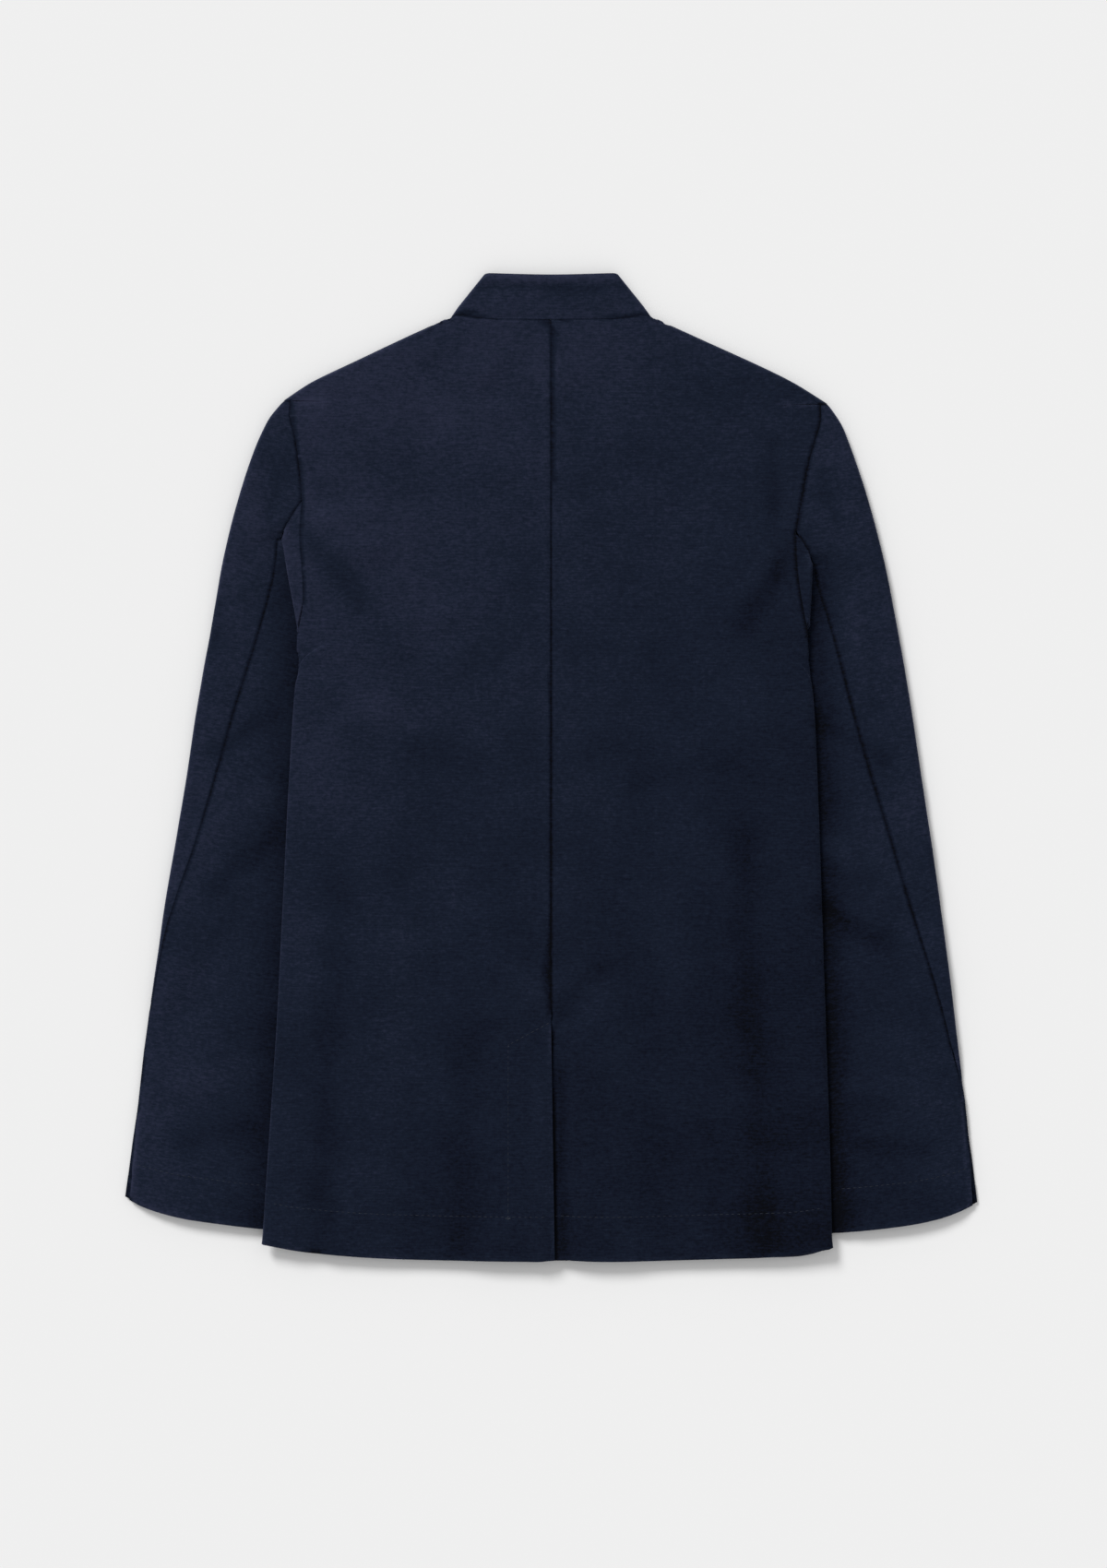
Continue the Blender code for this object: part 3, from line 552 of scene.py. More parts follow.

# %% [markdown]
# ## Soft creases
#
# Nobody can press a jacket perfectly flat. The cloth drags from the armpits, breaks at the elbows and falls
# in long shallow folds below the waist. These few large forms matter more than any texture, because the low
# light picks them out. A random displacement would put them anywhere, so each is listed one by one: two ends,
# how far it reaches to each side, and its height, which is minus for a trough. A little seeded unevenness
# on top keeps the rest from looking ironed.
#
# Heights are only added to the upper layer. The layer below lies on the table, so it stays where it is.

# %% Creases, one by one
# Both ends in millimetres from the middle of the jacket, reach, height
CREASES = (
    # the back, from the neck to the waist
    ((-34, 346), (-66, 292), 7, 0.35), ((33, 346), (70, 288), 8, 0.35), ((-9, 350), (-11, 312), 3.2, 0.5),
    ((-204, 196), (-150, 128), 9, -0.7), ((-198, 216), (-146, 172), 8, 0.5), ((-192, 236), (-150, 226), 7, 0.3),
    ((196, 178), (150, 112), 9, -0.6), ((174, 252), (177, 150), 6, -0.5), ((190, 206), (160, 150), 7, 0.5),
    ((-150, 24), (-64, 4), 13, -0.35), ((150, 6), (66, -12), 13, -0.35), ((-184, 60), (-120, 44), 10, 0.35),
    ((186, 52), (124, 30), 10, 0.35),
    # the back, below the waist
    ((-120, -140), (-136, -386), 16, 0.7), ((-168, -90), (-182, -386), 12, -0.6),
    ((-64, -210), (-72, -386), 14, -0.45), ((94, -110), (112, -386), 15, 0.6),
    ((150, -60), (168, -386), 13, -0.6), ((48, -226), (60, -386), 12, 0.5),
    ((-4, -196), (-44, -148), 8, 0.4), ((5, -194), (38, -156), 8, -0.4),
    # the vent: its upper side stands a little proud, its lower side falls away
    ((-7, -232), (-9, -386), 8, 0.9), ((7, -236), (9, -386), 4.5, -0.7),
    # the left sleeve
    ((-216, 44), (-262, 12), 8, -0.8), ((-220, -20), (-270, -50), 9, 0.7), ((-218, -56), (-262, -94), 8, -0.7),
    ((-240, -238), (-302, -250), 10, 0.6), ((-236, -282), (-286, -292), 8, -0.5),
    ((-232, 222), (-250, 150), 7, 0.5), ((-214, 230), (-222, 196), 6, -0.4),
    ((-233, 230), (-246, 205), 4.5, 0.8), ((-238, 196), (-224, 150), 9, 0.5), ((-262, 128), (-268, 96), 9, -0.5),
    ((-296, -20), (-306, -120), 10, 0.45),
    # the right sleeve
    ((236, 128), (246, 60), 6, 0.6), ((262, 80), (282, -20), 10, 0.45),
    ((212, 34), (262, 4), 8, -0.7), ((220, -60), (272, -86), 9, 0.6), ((216, -110), (262, -142), 9, -0.8),
    ((238, -250), (306, -264), 10, 0.6), ((240, -296), (292, -302), 8, -0.5), ((234, 214), (248, 150), 7, 0.5),
    ((214, 228), (224, 192), 6, -0.4),
    # the collar: its top edge is rolled, with a groove under it
    ((-50, 382.4), (50, 382.4), 3.4, 0.8), ((-56, 376.6), (56, 376.6), 2.2, -0.55), ((4, 374), (36, 374), 6, -0.6),
    # the centre back seam, pressed to the left
    ((0, 352), (0, -196), 1.2, -0.2), ((-4.5, 352), (-4.5, -196), 3.2, 0.3),
)
# On the fronts, which lie face down, creases can only lift off the table
FRONT_CREASES = (
    ((-150, 120), (-70, 60), 12, 0.7), ((-160, 20), (-60, -30), 14, 0.6), ((-120, -120), (-140, -380), 16, 0.7),
    ((-60, -210), (-66, -380), 12, 0.6), ((-150, 240), (-90, 180), 10, 0.6), ((150, 110), (74, 48), 12, 0.7),
    ((160, 8), (70, -44), 14, 0.6), ((112, -130), (136, -380), 16, 0.7), ((62, -220), (70, -380), 12, 0.6),
    ((150, 236), (96, 170), 10, 0.6),
)
WAVES = 26
WAVE_LENGTHS = (24.0, 85.0)
WAVE_HEIGHT = 0.30
SEED = 7
WANDER_LENGTHS, WANDERS = (30.0, 70.0), 8
WANDER_SHARE = 0.22  # of a crease's reach
NARROWEST_TO_WANDER = 4  # a crease with less reach than this, such as a pressed seam, runs straight


def unevenness(x, y, lengths, count, seed):
    """Soft random waves of about unit height, the same on every piece at the same place."""
    chance = np.random.default_rng(seed)
    total = np.zeros_like(x)
    for _ in range(count):
        length, heading, start = chance.uniform(*lengths), chance.uniform(0, math.pi), chance.uniform(0, 6.28)
        total += np.sin(2 * math.pi / length * (x * math.cos(heading) + y * math.sin(heading)) + start)
    return total / math.sqrt(count / 2)


def crease_heights(creases, x, y):
    """All the creases, added up at each place. Each wanders a little off its straight line."""
    wander = unevenness(x, y, WANDER_LENGTHS, WANDERS, SEED + 1)
    total = np.zeros_like(x)
    for (x_a, y_a), (x_b, y_b), reach, height in creases:
        along_x, along_y = x_b - x_a, y_b - y_a
        length = math.hypot(along_x, along_y)
        share = np.clip(((x - x_a) * along_x + (y - y_a) * along_y) / length**2, 0.0, 1.0)
        away = np.hypot(x - x_a - share * along_x, y - y_a - share * along_y)
        if reach > NARROWEST_TO_WANDER:
            away = np.abs(away + WANDER_SHARE * reach * wander)
        total += height * np.exp(-((away / reach) ** 2))
    return total


print(len(CREASES), "creases above,", len(FRONT_CREASES), "on the fronts")

# %% [markdown]
# ## Which vertices are on the upper layer
#
# A back panel is all upper layer. A side panel or a sleeve wraps round a fold, so its height tells the
# layers apart: low vertices belong to the layer that rests, high ones to the layer that moves, and the fold
# between them blends. Two heights for each kind of piece say where the blend starts and ends.

# %% Layers
FOLD_HEIGHTS = {"side": (8.0, 9.7), "collar": (3.0, 5.4), "sleeve": (2.1, 4.2)}


def upper_share(node, z):
    """0 where a piece's wall lies on the table, 1 where it is on top. Heights are in millimetres."""
    kind = node.split("_")[0]
    if kind not in FOLD_HEIGHTS:
        return np.ones_like(z) if kind == "back" else np.zeros_like(z)
    return smooth(*FOLD_HEIGHTS[kind], z)


# %% [markdown]
# ## Hem, cuffs and seams
#
# The hem and cuffs are turned up inside, so the cloth is double there and stands a little higher, down from a
# line of stitching. Along every seam the cloth is drawn in: it dips over the last few millimetres and puckers
# slightly. Both follow the pieces' own edges, so they are measured as distances from the rim of each piece.

# %% Rims
HEM_DEPTH = 35.0
CUFF_DEPTH = 35.0
SEAM_DIP = 0.24
SEAM_DIP_REACH = 1.4
PUCKER = 0.16
PUCKER_REACH = 9.0
WINDOW = 7.0  # wide enough to hold a vertex of the edge everywhere
LOW_BAND = 34.0  # a hem or cuff rises by less than this from its lowest point
EDGE_STEP = 3.0


def lower_edge(nodes):
    """The y of the lowest edge of these walls at an x, in millimetres."""
    points = np.vstack([points_of(walls[node].data) for node in nodes])
    low = points[points[:, 1] < points[:, 1].min() + LOW_BAND]
    at = np.arange(low[:, 0].min(), low[:, 0].max(), EDGE_STEP)
    value = [low[np.abs(low[:, 0] - x) < WINDOW, 1].min() for x in at]
    return lambda x: np.interp(x, at, value)


hem = lower_edge(["back_left", "back_right"])
cuffs = {side: lower_edge([f"sleeve_{side}_top"]) for side in ("left", "right")}
print("hem at the middle and the sides, mm:", [round(float(hem(x)), 1) for x in (-200, 0, 200)])

# %% Soften every wall
TURN_STEP = (-1.5, 1.0)  # the cloth's rise, from its full height to none, about the line of stitching
TURN_RISE = 0.35
EDGE_CALM = 14.0  # the waves grow to their full height over this distance from an edge
CALM_SHARE = 0.35  # what is left of them at an edge
PUCKER_LENGTHS, PUCKERS = (7.0, 13.0), 14
BUTTON_STRIP = (24.0, 52.0)  # the fronts stay flat up to the first of these, for their buttons
FRONT_WAVE = 0.3


def double_cloth(node, x, y):
    """1 where a hem or cuff is turned up inside, 0 elsewhere."""
    if node == "collar":
        return np.zeros_like(x)
    sleeve = node.startswith("sleeve")
    edge, depth = (cuffs[node.split("_")[1]], CUFF_DEPTH) if sleeve else (hem, HEM_DEPTH)
    return 1 - smooth(depth + TURN_STEP[0], depth + TURN_STEP[1], y - edge(x))


def soften(node, piece):
    """Adds creases, waves, puckers and the seams' dips to a wall, and gives its creases' heights."""
    mesh = piece.data
    points = points_of(mesh)
    x, y, z = points.T
    from_seam, from_edge = (distance_to(tree, mesh) for tree in edge_trees[node])
    calm = smooth(0.0, EDGE_CALM, np.minimum(from_seam, from_edge))
    waves = WAVE_HEIGHT * unevenness(x, y, WAVE_LENGTHS, WAVES, SEED)
    creases = crease_heights(CREASES, x, y)
    if node.startswith("front"):
        flat_waves = FRONT_WAVE * (1 + np.clip(waves / WAVE_HEIGHT, -1, 1)) * calm
        lift = smooth(*BUTTON_STRIP, np.abs(x)) * (crease_heights(FRONT_CREASES, x, y) + flat_waves)
    else:
        near_seam = np.exp(-((from_seam / PUCKER_REACH) ** 2))
        pucker = PUCKER * unevenness(x, y, PUCKER_LENGTHS, PUCKERS, SEED + 2) * near_seam
        dip = -SEAM_DIP * np.exp(-((from_seam / SEAM_DIP_REACH) ** 2))
        turned_up = TURN_RISE * double_cloth(node, x, y)
        calmed = waves * (CALM_SHARE + (1 - CALM_SHARE) * calm)
        lift = upper_share(node, z) * (creases + calmed + pucker + dip + turned_up)
    points[:, 2] = z + lift
    move_points(mesh, points)
    return creases


softened = {node: soften(node, piece) for node, piece in walls.items()}
deepest, highest = min(c.min() for c in softened.values()), max(c.max() for c in softened.values())
print("deepest and highest crease, mm:", round(deepest, 2), round(highest, 2))

# %% [markdown]
# ## Round the rims, and mark the rubbing and the painted light and shade
#
# A cut edge of cloth turned under is round, not square, so each rim gets a small bevel once the wall has its
# final form. The three attributes that the finish reads are then stored on the mesh. The first grows towards the
# rims and over the folds, where the nap is rubbed; over the folds it is also a painted sheen, and it paints a
# highlight along the tops of the creases and on rolled edges. The second marks the seams' dark lines, and paints
# shade into the troughs and onto the cloth that lies close beside another layer.
#
# The third attribute changes slowly over each piece. A nap looks paler or darker with the way it lies, so one
# number can carry the broad tones of a jacket. Its values here were chosen for their tone, piece by piece,
# against the real jacket as it lay in its own light. So they are partly painted light: they hold some of that
# light's fall from one side to the other, and the dark beside the folds is painted shade too: it isn't all in
# the cloth. Under a light of another kind, set the nap's table to zeros and the lee's depths to 0, and little
# is left but the plain cloth.

# %% The lie of the nap
# For each group of pieces: nap tone and painted light at the middle of the jacket, its change over 100 mm in x and
# over 100 mm in y
NAP_AND_LIGHT = {
    "body": (0.02, -0.25, 0.19), "collar": (0.72, 0.0, 0.0),
    "sleeve_left": (-1.60, -0.80, 0.15), "sleeve_right": (-1.50, 0.65, 0.20),
}
NAP_PATCH = 0.09
PATCH_LENGTHS, PATCHES = (60.0, 160.0), 10
NAP_LIMIT = 1.2


def nap_and_painted_light(node, x, y):
    """How pale the nap and the painted light make the cloth: 0 is plain, and minus is darker."""
    group = next((start for start in NAP_AND_LIGHT if node.startswith(start)), "body")
    middle, over_x, over_y = NAP_AND_LIGHT[group]
    patches = NAP_PATCH * unevenness(x, y, PATCH_LENGTHS, PATCHES, SEED + 4)
    return np.clip(middle + (over_x * x + over_y * y) / 100 + patches, -NAP_LIMIT, NAP_LIMIT)


left_shoulder, right_of_hem = nap_and_painted_light("back", np.array([-130.0, 130.0]), np.array([250.0, -300.0]))
print(f"nap on the left shoulder {left_shoulder:.2f}, at the right of the hem {right_of_hem:.2f}")

# %% The dark places
# Beside each body fold the sleeve lies low and in the body's lee, and gets painted shade there: reach in mm and
# depth of the painted shade
LEE = {"left": (17.0, 0.40), "right": (16.0, 0.62)}
LEE_TOP, LEE_FADE = 178.0, 28.0
# Down a cuff's vent its lower side shows outside the upper one, more and more, with a rolled edge beside it. The
# lower side gets painted shade, and the rolled edge a painted highlight
CUFF_VENT_TOP, CUFF_VENT_LENGTH, CUFF_VENT_SHOWS = -225.0, 125.0, 4.2
CUFF_VENT_PAINTED_SHADE, CUFF_VENT_PAINTED_HIGHLIGHT = 0.8, 0.6
ROLL_IN, ROLL_WIDTH = 1.6, 1.3
# The back vent's lower side lies in the lee of the upper one, and gets painted shade along an edge that leans a
# little
VENT_TOP, VENT_LENGTH, VENT_LEAN = -198.0, 189.0, 3.0
VENT_LEE, VENT_FADE = 2.6, 20.0
SIDE_STEP = 4.0


def side_of(nodes):
    """How far out these walls reach at each y, in millimetres from the middle."""
    points = np.vstack([points_of(walls[node].data) for node in nodes])
    at = np.arange(points[:, 1].min(), points[:, 1].max(), SIDE_STEP)
    value = [np.abs(points[np.abs(points[:, 1] - y) < WINDOW, 0]).max() for y in at]
    return lambda y: np.interp(y, at, value)


def below(top, fade, y):
    """0 above this height and 1 from a fade's length below it."""
    return smooth(-top, fade - top, -y)


def cuff_vent(side, x, y):
    """(1 where the lower side of a cuff's vent shows, for painted shade, 1 on the rolled edge beside it, for a
    painted highlight).
    """
    shows = CUFF_VENT_SHOWS * below(CUFF_VENT_TOP, CUFF_VENT_LENGTH, y)
    inwards = sleeve_side[side](y) - np.abs(x)
    there = smooth(0.4, 1.2, shows)
    under = 1 - smooth(shows - 0.4, shows + 0.2, inwards)
    rolled = np.exp(-(((inwards - shows - ROLL_IN) / ROLL_WIDTH) ** 2))
    return there * under, there * rolled


def painted_shade_and_highlight(node, x, y):
    """Two shares from 0 to 1: painted shade on cloth close beside another layer, and a painted highlight on rolled
    edges.
    """
    side = "left" if "left" in node else "right"
    if node.startswith("sleeve"):
        reach, depth = LEE[side]
        away = np.maximum(np.abs(x) - body_side[side](y), 0)
        # Painted shade on the sleeve beside the body's fold
        lee = depth * np.exp(-((away / reach) ** 2)) * below(LEE_TOP, LEE_FADE, y)
        under, rolled = cuff_vent(side, x, y)
        return np.maximum(lee, CUFF_VENT_PAINTED_SHADE * under), CUFF_VENT_PAINTED_HIGHLIGHT * rolled
    if node == "back_right":
        # Painted shade on the back vent's lower side, beside the upper side's edge
        from_edge = x - VENT_LEAN * below(VENT_TOP, VENT_LENGTH, y)
        lee = 1 - smooth(0.3, 1.0, from_edge / VENT_LEE)
        return lee * below(VENT_TOP, VENT_FADE, y), np.zeros_like(x)
    return np.zeros_like(x), np.zeros_like(x)


body_side = {side: side_of([f"back_{side}", f"side_{side}"]) for side in LEE}
sleeve_side = {side: side_of([f"sleeve_{side}_top"]) for side in LEE}
for name, side in (("body", body_side["left"]), ("sleeve", sleeve_side["left"])):
    print(f"at the waist the {name} reaches {side(0):.1f} mm out")

# %% Finish the walls
RIM_ROUND = 0.55 * MM
GROOVE = 0.35  # half the width of a seam's dark groove, in millimetres
UNRUBBED = 2.0  # the rubbing and the painted sheen fade out about this near to a seam
EDGE_WEAR, EDGE_REACH, EDGE_FALL = 0.8, 2.4, 1.3
TILT_WEAR_AND_SHEEN, TILTS = 0.9, (0.04, 0.5)  # cloth that is tilted as much as this, such as at a fold, is worn and gets a painted sheen
# A painted highlight along the tops of the creases
RIDGE_PAINTED_HIGHLIGHT = 0.25
# Painted shade in the troughs of the creases
CREASE_PAINTED_SHADE = 0.5
WEAR_LENGTHS, WEAR_PATCHES = (9.0, 40.0), 16


def round_rims(piece):
    """Bevels a wall's rims."""
    form, edges = rim_edges(piece.data)
    bmesh.ops.bevel(
        form, geom=edges, offset=RIM_ROUND, segments=2, profile=0.5, affect="EDGES", clamp_overlap=True
    )
    form.to_mesh(piece.data)
    form.free()
    piece.data.shade_smooth()


def mark_finish(node, mesh):
    """Stores the three attributes that the finish reads."""
    x, y, _ = points_of(mesh).T
    from_seam, from_edge = (distance_to(tree, mesh) for tree in final_trees[node])
    normals = np.empty(len(mesh.vertices) * 3)
    mesh.vertex_normals.foreach_get("vector", normals)
    tilt = 1 - np.abs(normals.reshape(-1, 3)[:, 2])
    patch = 0.75 + 0.25 * unevenness(x, y, WEAR_LENGTHS, WEAR_PATCHES, SEED + 3)
    away_from_seam = 1 - np.exp(-((from_seam / UNRUBBED) ** 2))
    at_edge = EDGE_WEAR * np.exp(-((from_edge / EDGE_REACH) ** EDGE_FALL))
    # Rubbing at the free rims and over folds, where a painted sheen is added
    wear_and_sheen = patch * np.maximum(at_edge, TILT_WEAR_AND_SHEEN * smooth(*TILTS, tilt))
    dark, rolled = painted_shade_and_highlight(node, x, y)
    creases = crease_heights(CREASES, x, y)
    ridge_highlights = RIDGE_PAINTED_HIGHLIGHT * np.clip(creases, 0, 1) * away_from_seam
    groove = np.exp(-((from_seam / GROOVE) ** 2))
    # Rubbing with painted sheen and highlights; seam lines with painted shade; the nap's tone with painted light
    marks = {
        "wear_and_painted_sheen": np.clip(wear_and_sheen * away_from_seam * (1 - dark) + rolled + ridge_highlights, 0, 1),
        "seam_lines_and_painted_shade": np.clip(groove + dark - CREASE_PAINTED_SHADE * creases, 0, 1),
        "nap_and_painted_light": nap_and_painted_light(node, x, y),
    }
    for name, values in marks.items():
        mesh.attributes.new(name, "FLOAT", "POINT").data.foreach_set("value", values.astype(np.float32))


final_trees = sewn_and_free_rims()
for node, piece in walls.items():
    round_rims(piece)
    mark_finish(node, piece.data)
    print(f"{node}: {len(piece.data.polygons)} faces")

# %% Dress the walls
CLOTH_OF = {"sleeve_left": cloth_of_left_sleeve, "sleeve_right": cloth_of_right_sleeve}
for node, piece in walls.items():
    cloth = next((finish for start, finish in CLOTH_OF.items() if node.startswith(start)), cloth_of_body)
    piece.data.materials.clear()
    piece.data.materials.append(cloth)
print("dressed", len(walls), "pieces")

# %% [markdown]
# ## Stitches
#
# A row of stitches is one short thread repeated along a path, which is what Geometry Nodes are for. The tree
# below takes a path, walks along it at the stitch's pitch, sets a slim thread at each step, turned to the
# path, and varies them a little. Drawing each stitch by hand would give the same picture, but a change of
# pitch would mean doing it all again.
#
# A path is a list of places on the jacket. Rays cast down onto the finished cloth give it its height, so the
# thread always lies on the cloth, whatever the creases do.

# %% Thread finish
def thread_finish(name, colour):
    material, tree, shader, place = new_finish(name)
    twist = noise_on(tree, "twist", place, (0.0006, 0.0006, 0.0006), 2.0)
    dark, light = ((*(share * channel for channel in colour), 1.0) for share in (0.55, 1.35))
    coloured(tree, "thread", twist, (0, dark), (1, light))
    in_relief(tree, "twist", twist, strength=0.4, distance=0.0001)
    shader.inputs["Roughness"].default_value = 0.6
    shader.inputs["Specular IOR Level"].default_value = 0.3
    return material


navy_thread = thread_finish("navy_thread", (0.013, 0.018, 0.031))
print("thread:", navy_thread.name)

# %% The stitching tree
STITCH = {"Stitch Length": 2.9 * MM, "Gap": 1.5 * MM, "Thread Radius": 0.22 * MM, "Seed": 5}
STITCH_SIZES = (0.86, 1.1)  # from the smallest to the largest, as shares of the size


def stitching_tree():
    """The tree that sets stitches along a path."""
    tree = bpy.data.node_groups.new("row_of_stitches", "GeometryNodeTree")
    tree.interface.new_socket("Path", in_out="INPUT", socket_type="NodeSocketGeometry")
    for name in ("Stitch Length", "Gap", "Thread Radius"):
        tree.interface.new_socket(name, in_out="INPUT", socket_type="NodeSocketFloat")
    tree.interface.new_socket("Seed", in_out="INPUT", socket_type="NodeSocketInt")
    tree.interface.new_socket("Thread", in_out="INPUT", socket_type="NodeSocketMaterial")
    tree.interface.new_socket("Stitches", in_out="OUTPUT", socket_type="NodeSocketGeometry")
    link = tree.links.new
    given = tree.nodes.new("NodeGroupInput")

    line = tree.nodes.new("GeometryNodeMeshToCurve")
    link(given.outputs["Path"], line.inputs["Mesh"])
    pitch = tree.nodes.new("ShaderNodeMath")
    link(given.outputs["Stitch Length"], pitch.inputs[0])
    link(given.outputs["Gap"], pitch.inputs[1])
    steps = tree.nodes.new("GeometryNodeResampleCurve")
    steps.mode = "LENGTH"
    link(line.outputs["Curve"], steps.inputs["Curve"])
    link(pitch.outputs[0], steps.inputs["Length"])

    thread = tree.nodes.new("GeometryNodeMeshUVSphere")
    thread.inputs["Segments"].default_value = 6
    thread.inputs["Rings"].default_value = 5
    half = tree.nodes.new("ShaderNodeMath")
    half.operation = "MULTIPLY"
    half.inputs[1].default_value = 0.5
    link(given.outputs["Stitch Length"], half.inputs[0])
    slim = tree.nodes.new("ShaderNodeCombineXYZ")
    link(given.outputs["Thread Radius"], slim.inputs["X"])
    link(given.outputs["Thread Radius"], slim.inputs["Y"])
    link(half.outputs[0], slim.inputs["Z"])
    drawn = tree.nodes.new("GeometryNodeTransform")
    link(thread.outputs["Mesh"], drawn.inputs["Geometry"])
    link(slim.outputs[0], drawn.inputs["Scale"])

    tangent = tree.nodes.new("GeometryNodeInputTangent")
    turn = tree.nodes.new("FunctionNodeAlignRotationToVector")
    turn.axis = "Z"
    link(tangent.outputs["Tangent"], turn.inputs["Vector"])
    vary = tree.nodes.new("FunctionNodeRandomValue")
    vary.data_type = "FLOAT"
    numbers = [socket for socket in vary.inputs if socket.type == "VALUE" and socket.enabled]
    lowest, highest = (socket for socket in numbers if socket.name in ("Min", "Max"))
    lowest.default_value, highest.default_value = STITCH_SIZES
    link(given.outputs["Seed"], next(socket for socket in vary.inputs if socket.name == "Seed"))
    placed = tree.nodes.new("GeometryNodeInstanceOnPoints")
    link(steps.outputs["Curve"], placed.inputs["Points"])
    link(drawn.outputs["Geometry"], placed.inputs["Instance"])
    link(turn.outputs["Rotation"], placed.inputs["Rotation"])
    chosen = next(socket for socket in vary.outputs if socket.type == "VALUE" and socket.enabled)
    link(chosen, placed.inputs["Scale"])

    real = tree.nodes.new("GeometryNodeRealizeInstances")
    link(placed.outputs["Instances"], real.inputs["Geometry"])
    dressed = tree.nodes.new("GeometryNodeSetMaterial")
    link(real.outputs["Geometry"], dressed.inputs["Geometry"])
    link(given.outputs["Thread"], dressed.inputs["Material"])
    made = tree.nodes.new("NodeGroupOutput")
    link(dressed.outputs["Geometry"], made.inputs["Stitches"])
    return tree


row_of_stitches = stitching_tree()
print("inputs:", [item.name for item in row_of_stitches.interface.items_tree if item.in_out == "INPUT"])

# %% Sew
def lines_object(name, paths):
    """An object of edges along each path of points."""
    points, edges = [], []
    for path in paths:
        edges += [(len(points) + i, len(points) + i + 1) for i in range(len(path) - 1)]
        points += [tuple(point) for point in path]
    mesh = bpy.data.meshes.new(name)
    mesh.from_pydata(points, edges, [])
    piece = bpy.data.objects.new(name, mesh)
    bpy.context.scene.collection.objects.link(piece)
    return piece


def sew(name, paths, **changes):
    """Stitches along the paths, as one plain mesh."""
    piece = lines_object(name, paths)
    rows = piece.modifiers.new("stitches", "NODES")
    rows.node_group = row_of_stitches
    values = {**STITCH, "Thread": navy_thread, **changes}
    for item in row_of_stitches.interface.items_tree:
        if item.in_out == "INPUT" and item.name in values:
            rows[item.identifier] = values[item.name]
    mesh = applied(piece)
    piece.modifiers.clear()
    piece.data = mesh
    mesh.name = name
    mesh.shade_smooth()
    return piece


def surface_of(nodes):
    """The cloth of these nodes as one surface for rays."""
    points, faces = [], []
    for node in nodes:
        mesh = walls[node].data
        faces += [[len(points) + i for i in face.vertices] for face in mesh.polygons]
        points += [vertex.co.copy() for vertex in mesh.vertices]
    return BVHTree.FromPolygons(points, faces)


SUNK = 0.04 * MM  # how deep the middle of the thread lies in the cloth
STEP = 2.0
CLEAR = 0.1  # metres above or below the jacket, from where the rays start


def laid_on(surface, corners, from_above=True):
    """A path on the cloth through these corners (x, y), in millimetres."""
    path = []
    for (x_a, y_a), (x_b, y_b) in zip(corners, corners[1:]):
        count = max(2, int(math.hypot(x_b - x_a, y_b - y_a) / STEP))
        for share in np.linspace(0, 1, count, endpoint=False):
            x, y = (x_a + (x_b - x_a) * share) * MM, (y_a + (y_b - y_a) * share) * MM
            up = 1 if from_above else -1
            spot = surface.ray_cast(Vector((x, y, up * CLEAR)), Vector((0, 0, -up)))[0]
            if spot is not None:
                path.append(spot - Vector((0, 0, up * SUNK)))
    return path


back_of_jacket = surface_of(["back_left", "back_right"])
print("ready to sew")

# %% [markdown]
# ## Where this jacket is stitched
#
# Most of its seams are sewn from the inside and show only as lines between pieces. Three kinds of stitching
# show: the rows that hold up the hem and the cuffs, the vent's row with the slant at its top that takes the
# strain, ending in a small tack, and on the fronts the row along the closing edge and the corded edges of the
# buttonholes.

# %% Hem and cuffs
HEM_STEPS = 60
# Where the rows start and end, in x
HEM_ROWS = ((-216, -5), (1, 211))
CUFF_ROWS = {"left": (-323, -229), "right": (229, 325)}


def along_edge(edge, depth, x_from, x_to):
    """Corners of a line at a constant depth above a hem or cuff."""
    return [(x, float(edge(x)) + depth) for x in np.linspace(x_from, x_to, HEM_STEPS)]


hem_stitches = sew(
    "stitches_hem", [laid_on(back_of_jacket, along_edge(hem, HEM_DEPTH, *ends)) for ends in HEM_ROWS]
)
cuff_stitches = {}
for side, ends in CUFF_ROWS.items():
    sleeve = surface_of([f"sleeve_{side}_under", f"sleeve_{side}_top"])
    cuff_row = laid_on(sleeve, along_edge(cuffs[side], CUFF_DEPTH, *ends))
    cuff_stitches[side] = sew(f"stitches_cuff_{side}", [cuff_row])
print("hem stitches:", len(hem_stitches.data.polygons), "faces")

# %% Vent
VENT_STITCH_X = -33.7
TACK = {"Stitch Length": 2.0 * MM, "Gap": -1.2 * MM, "Thread Radius": 0.34 * MM}

vent_row = [(-3.0, VENT_TOP - 2.9), (VENT_STITCH_X, VENT_TOP - 19.4), (VENT_STITCH_X, -354)]
vent_stitches = sew("stitches_vent", [laid_on(back_of_jacket, vent_row)])
tack = [(VENT_STITCH_X - 1.6, -353.2), (VENT_STITCH_X + 1.6, -353.2), (VENT_STITCH_X - 1.6, -354.4)]
tack_stitches = sew("stitches_vent_tack", [laid_on(back_of_jacket, tack)], **TACK)
print("vent stitches:", len(vent_stitches.data.polygons), "faces")

# %% Fronts
front_surface = surface_of(["front_left"])
fronts_below = surface_of(["front_left", "front_right"])
button_spots = [tuple((low + high) / 2) for low, high in (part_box(f"button_{n}") for n in range(1, 6))]
front_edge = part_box("front_left")[1].x / MM
EDGE_STITCH, EDGE_TOP, EDGE_LOW = 6.0, 254, -382
FRONT_HEM_END = 150
HOLE_IN, HOLE_OUT, HOLE_HALF = -21.0, 2.5, 0.8
CORDED = {"Stitch Length": 1.5 * MM, "Gap": -0.75 * MM, "Thread Radius": 0.34 * MM}

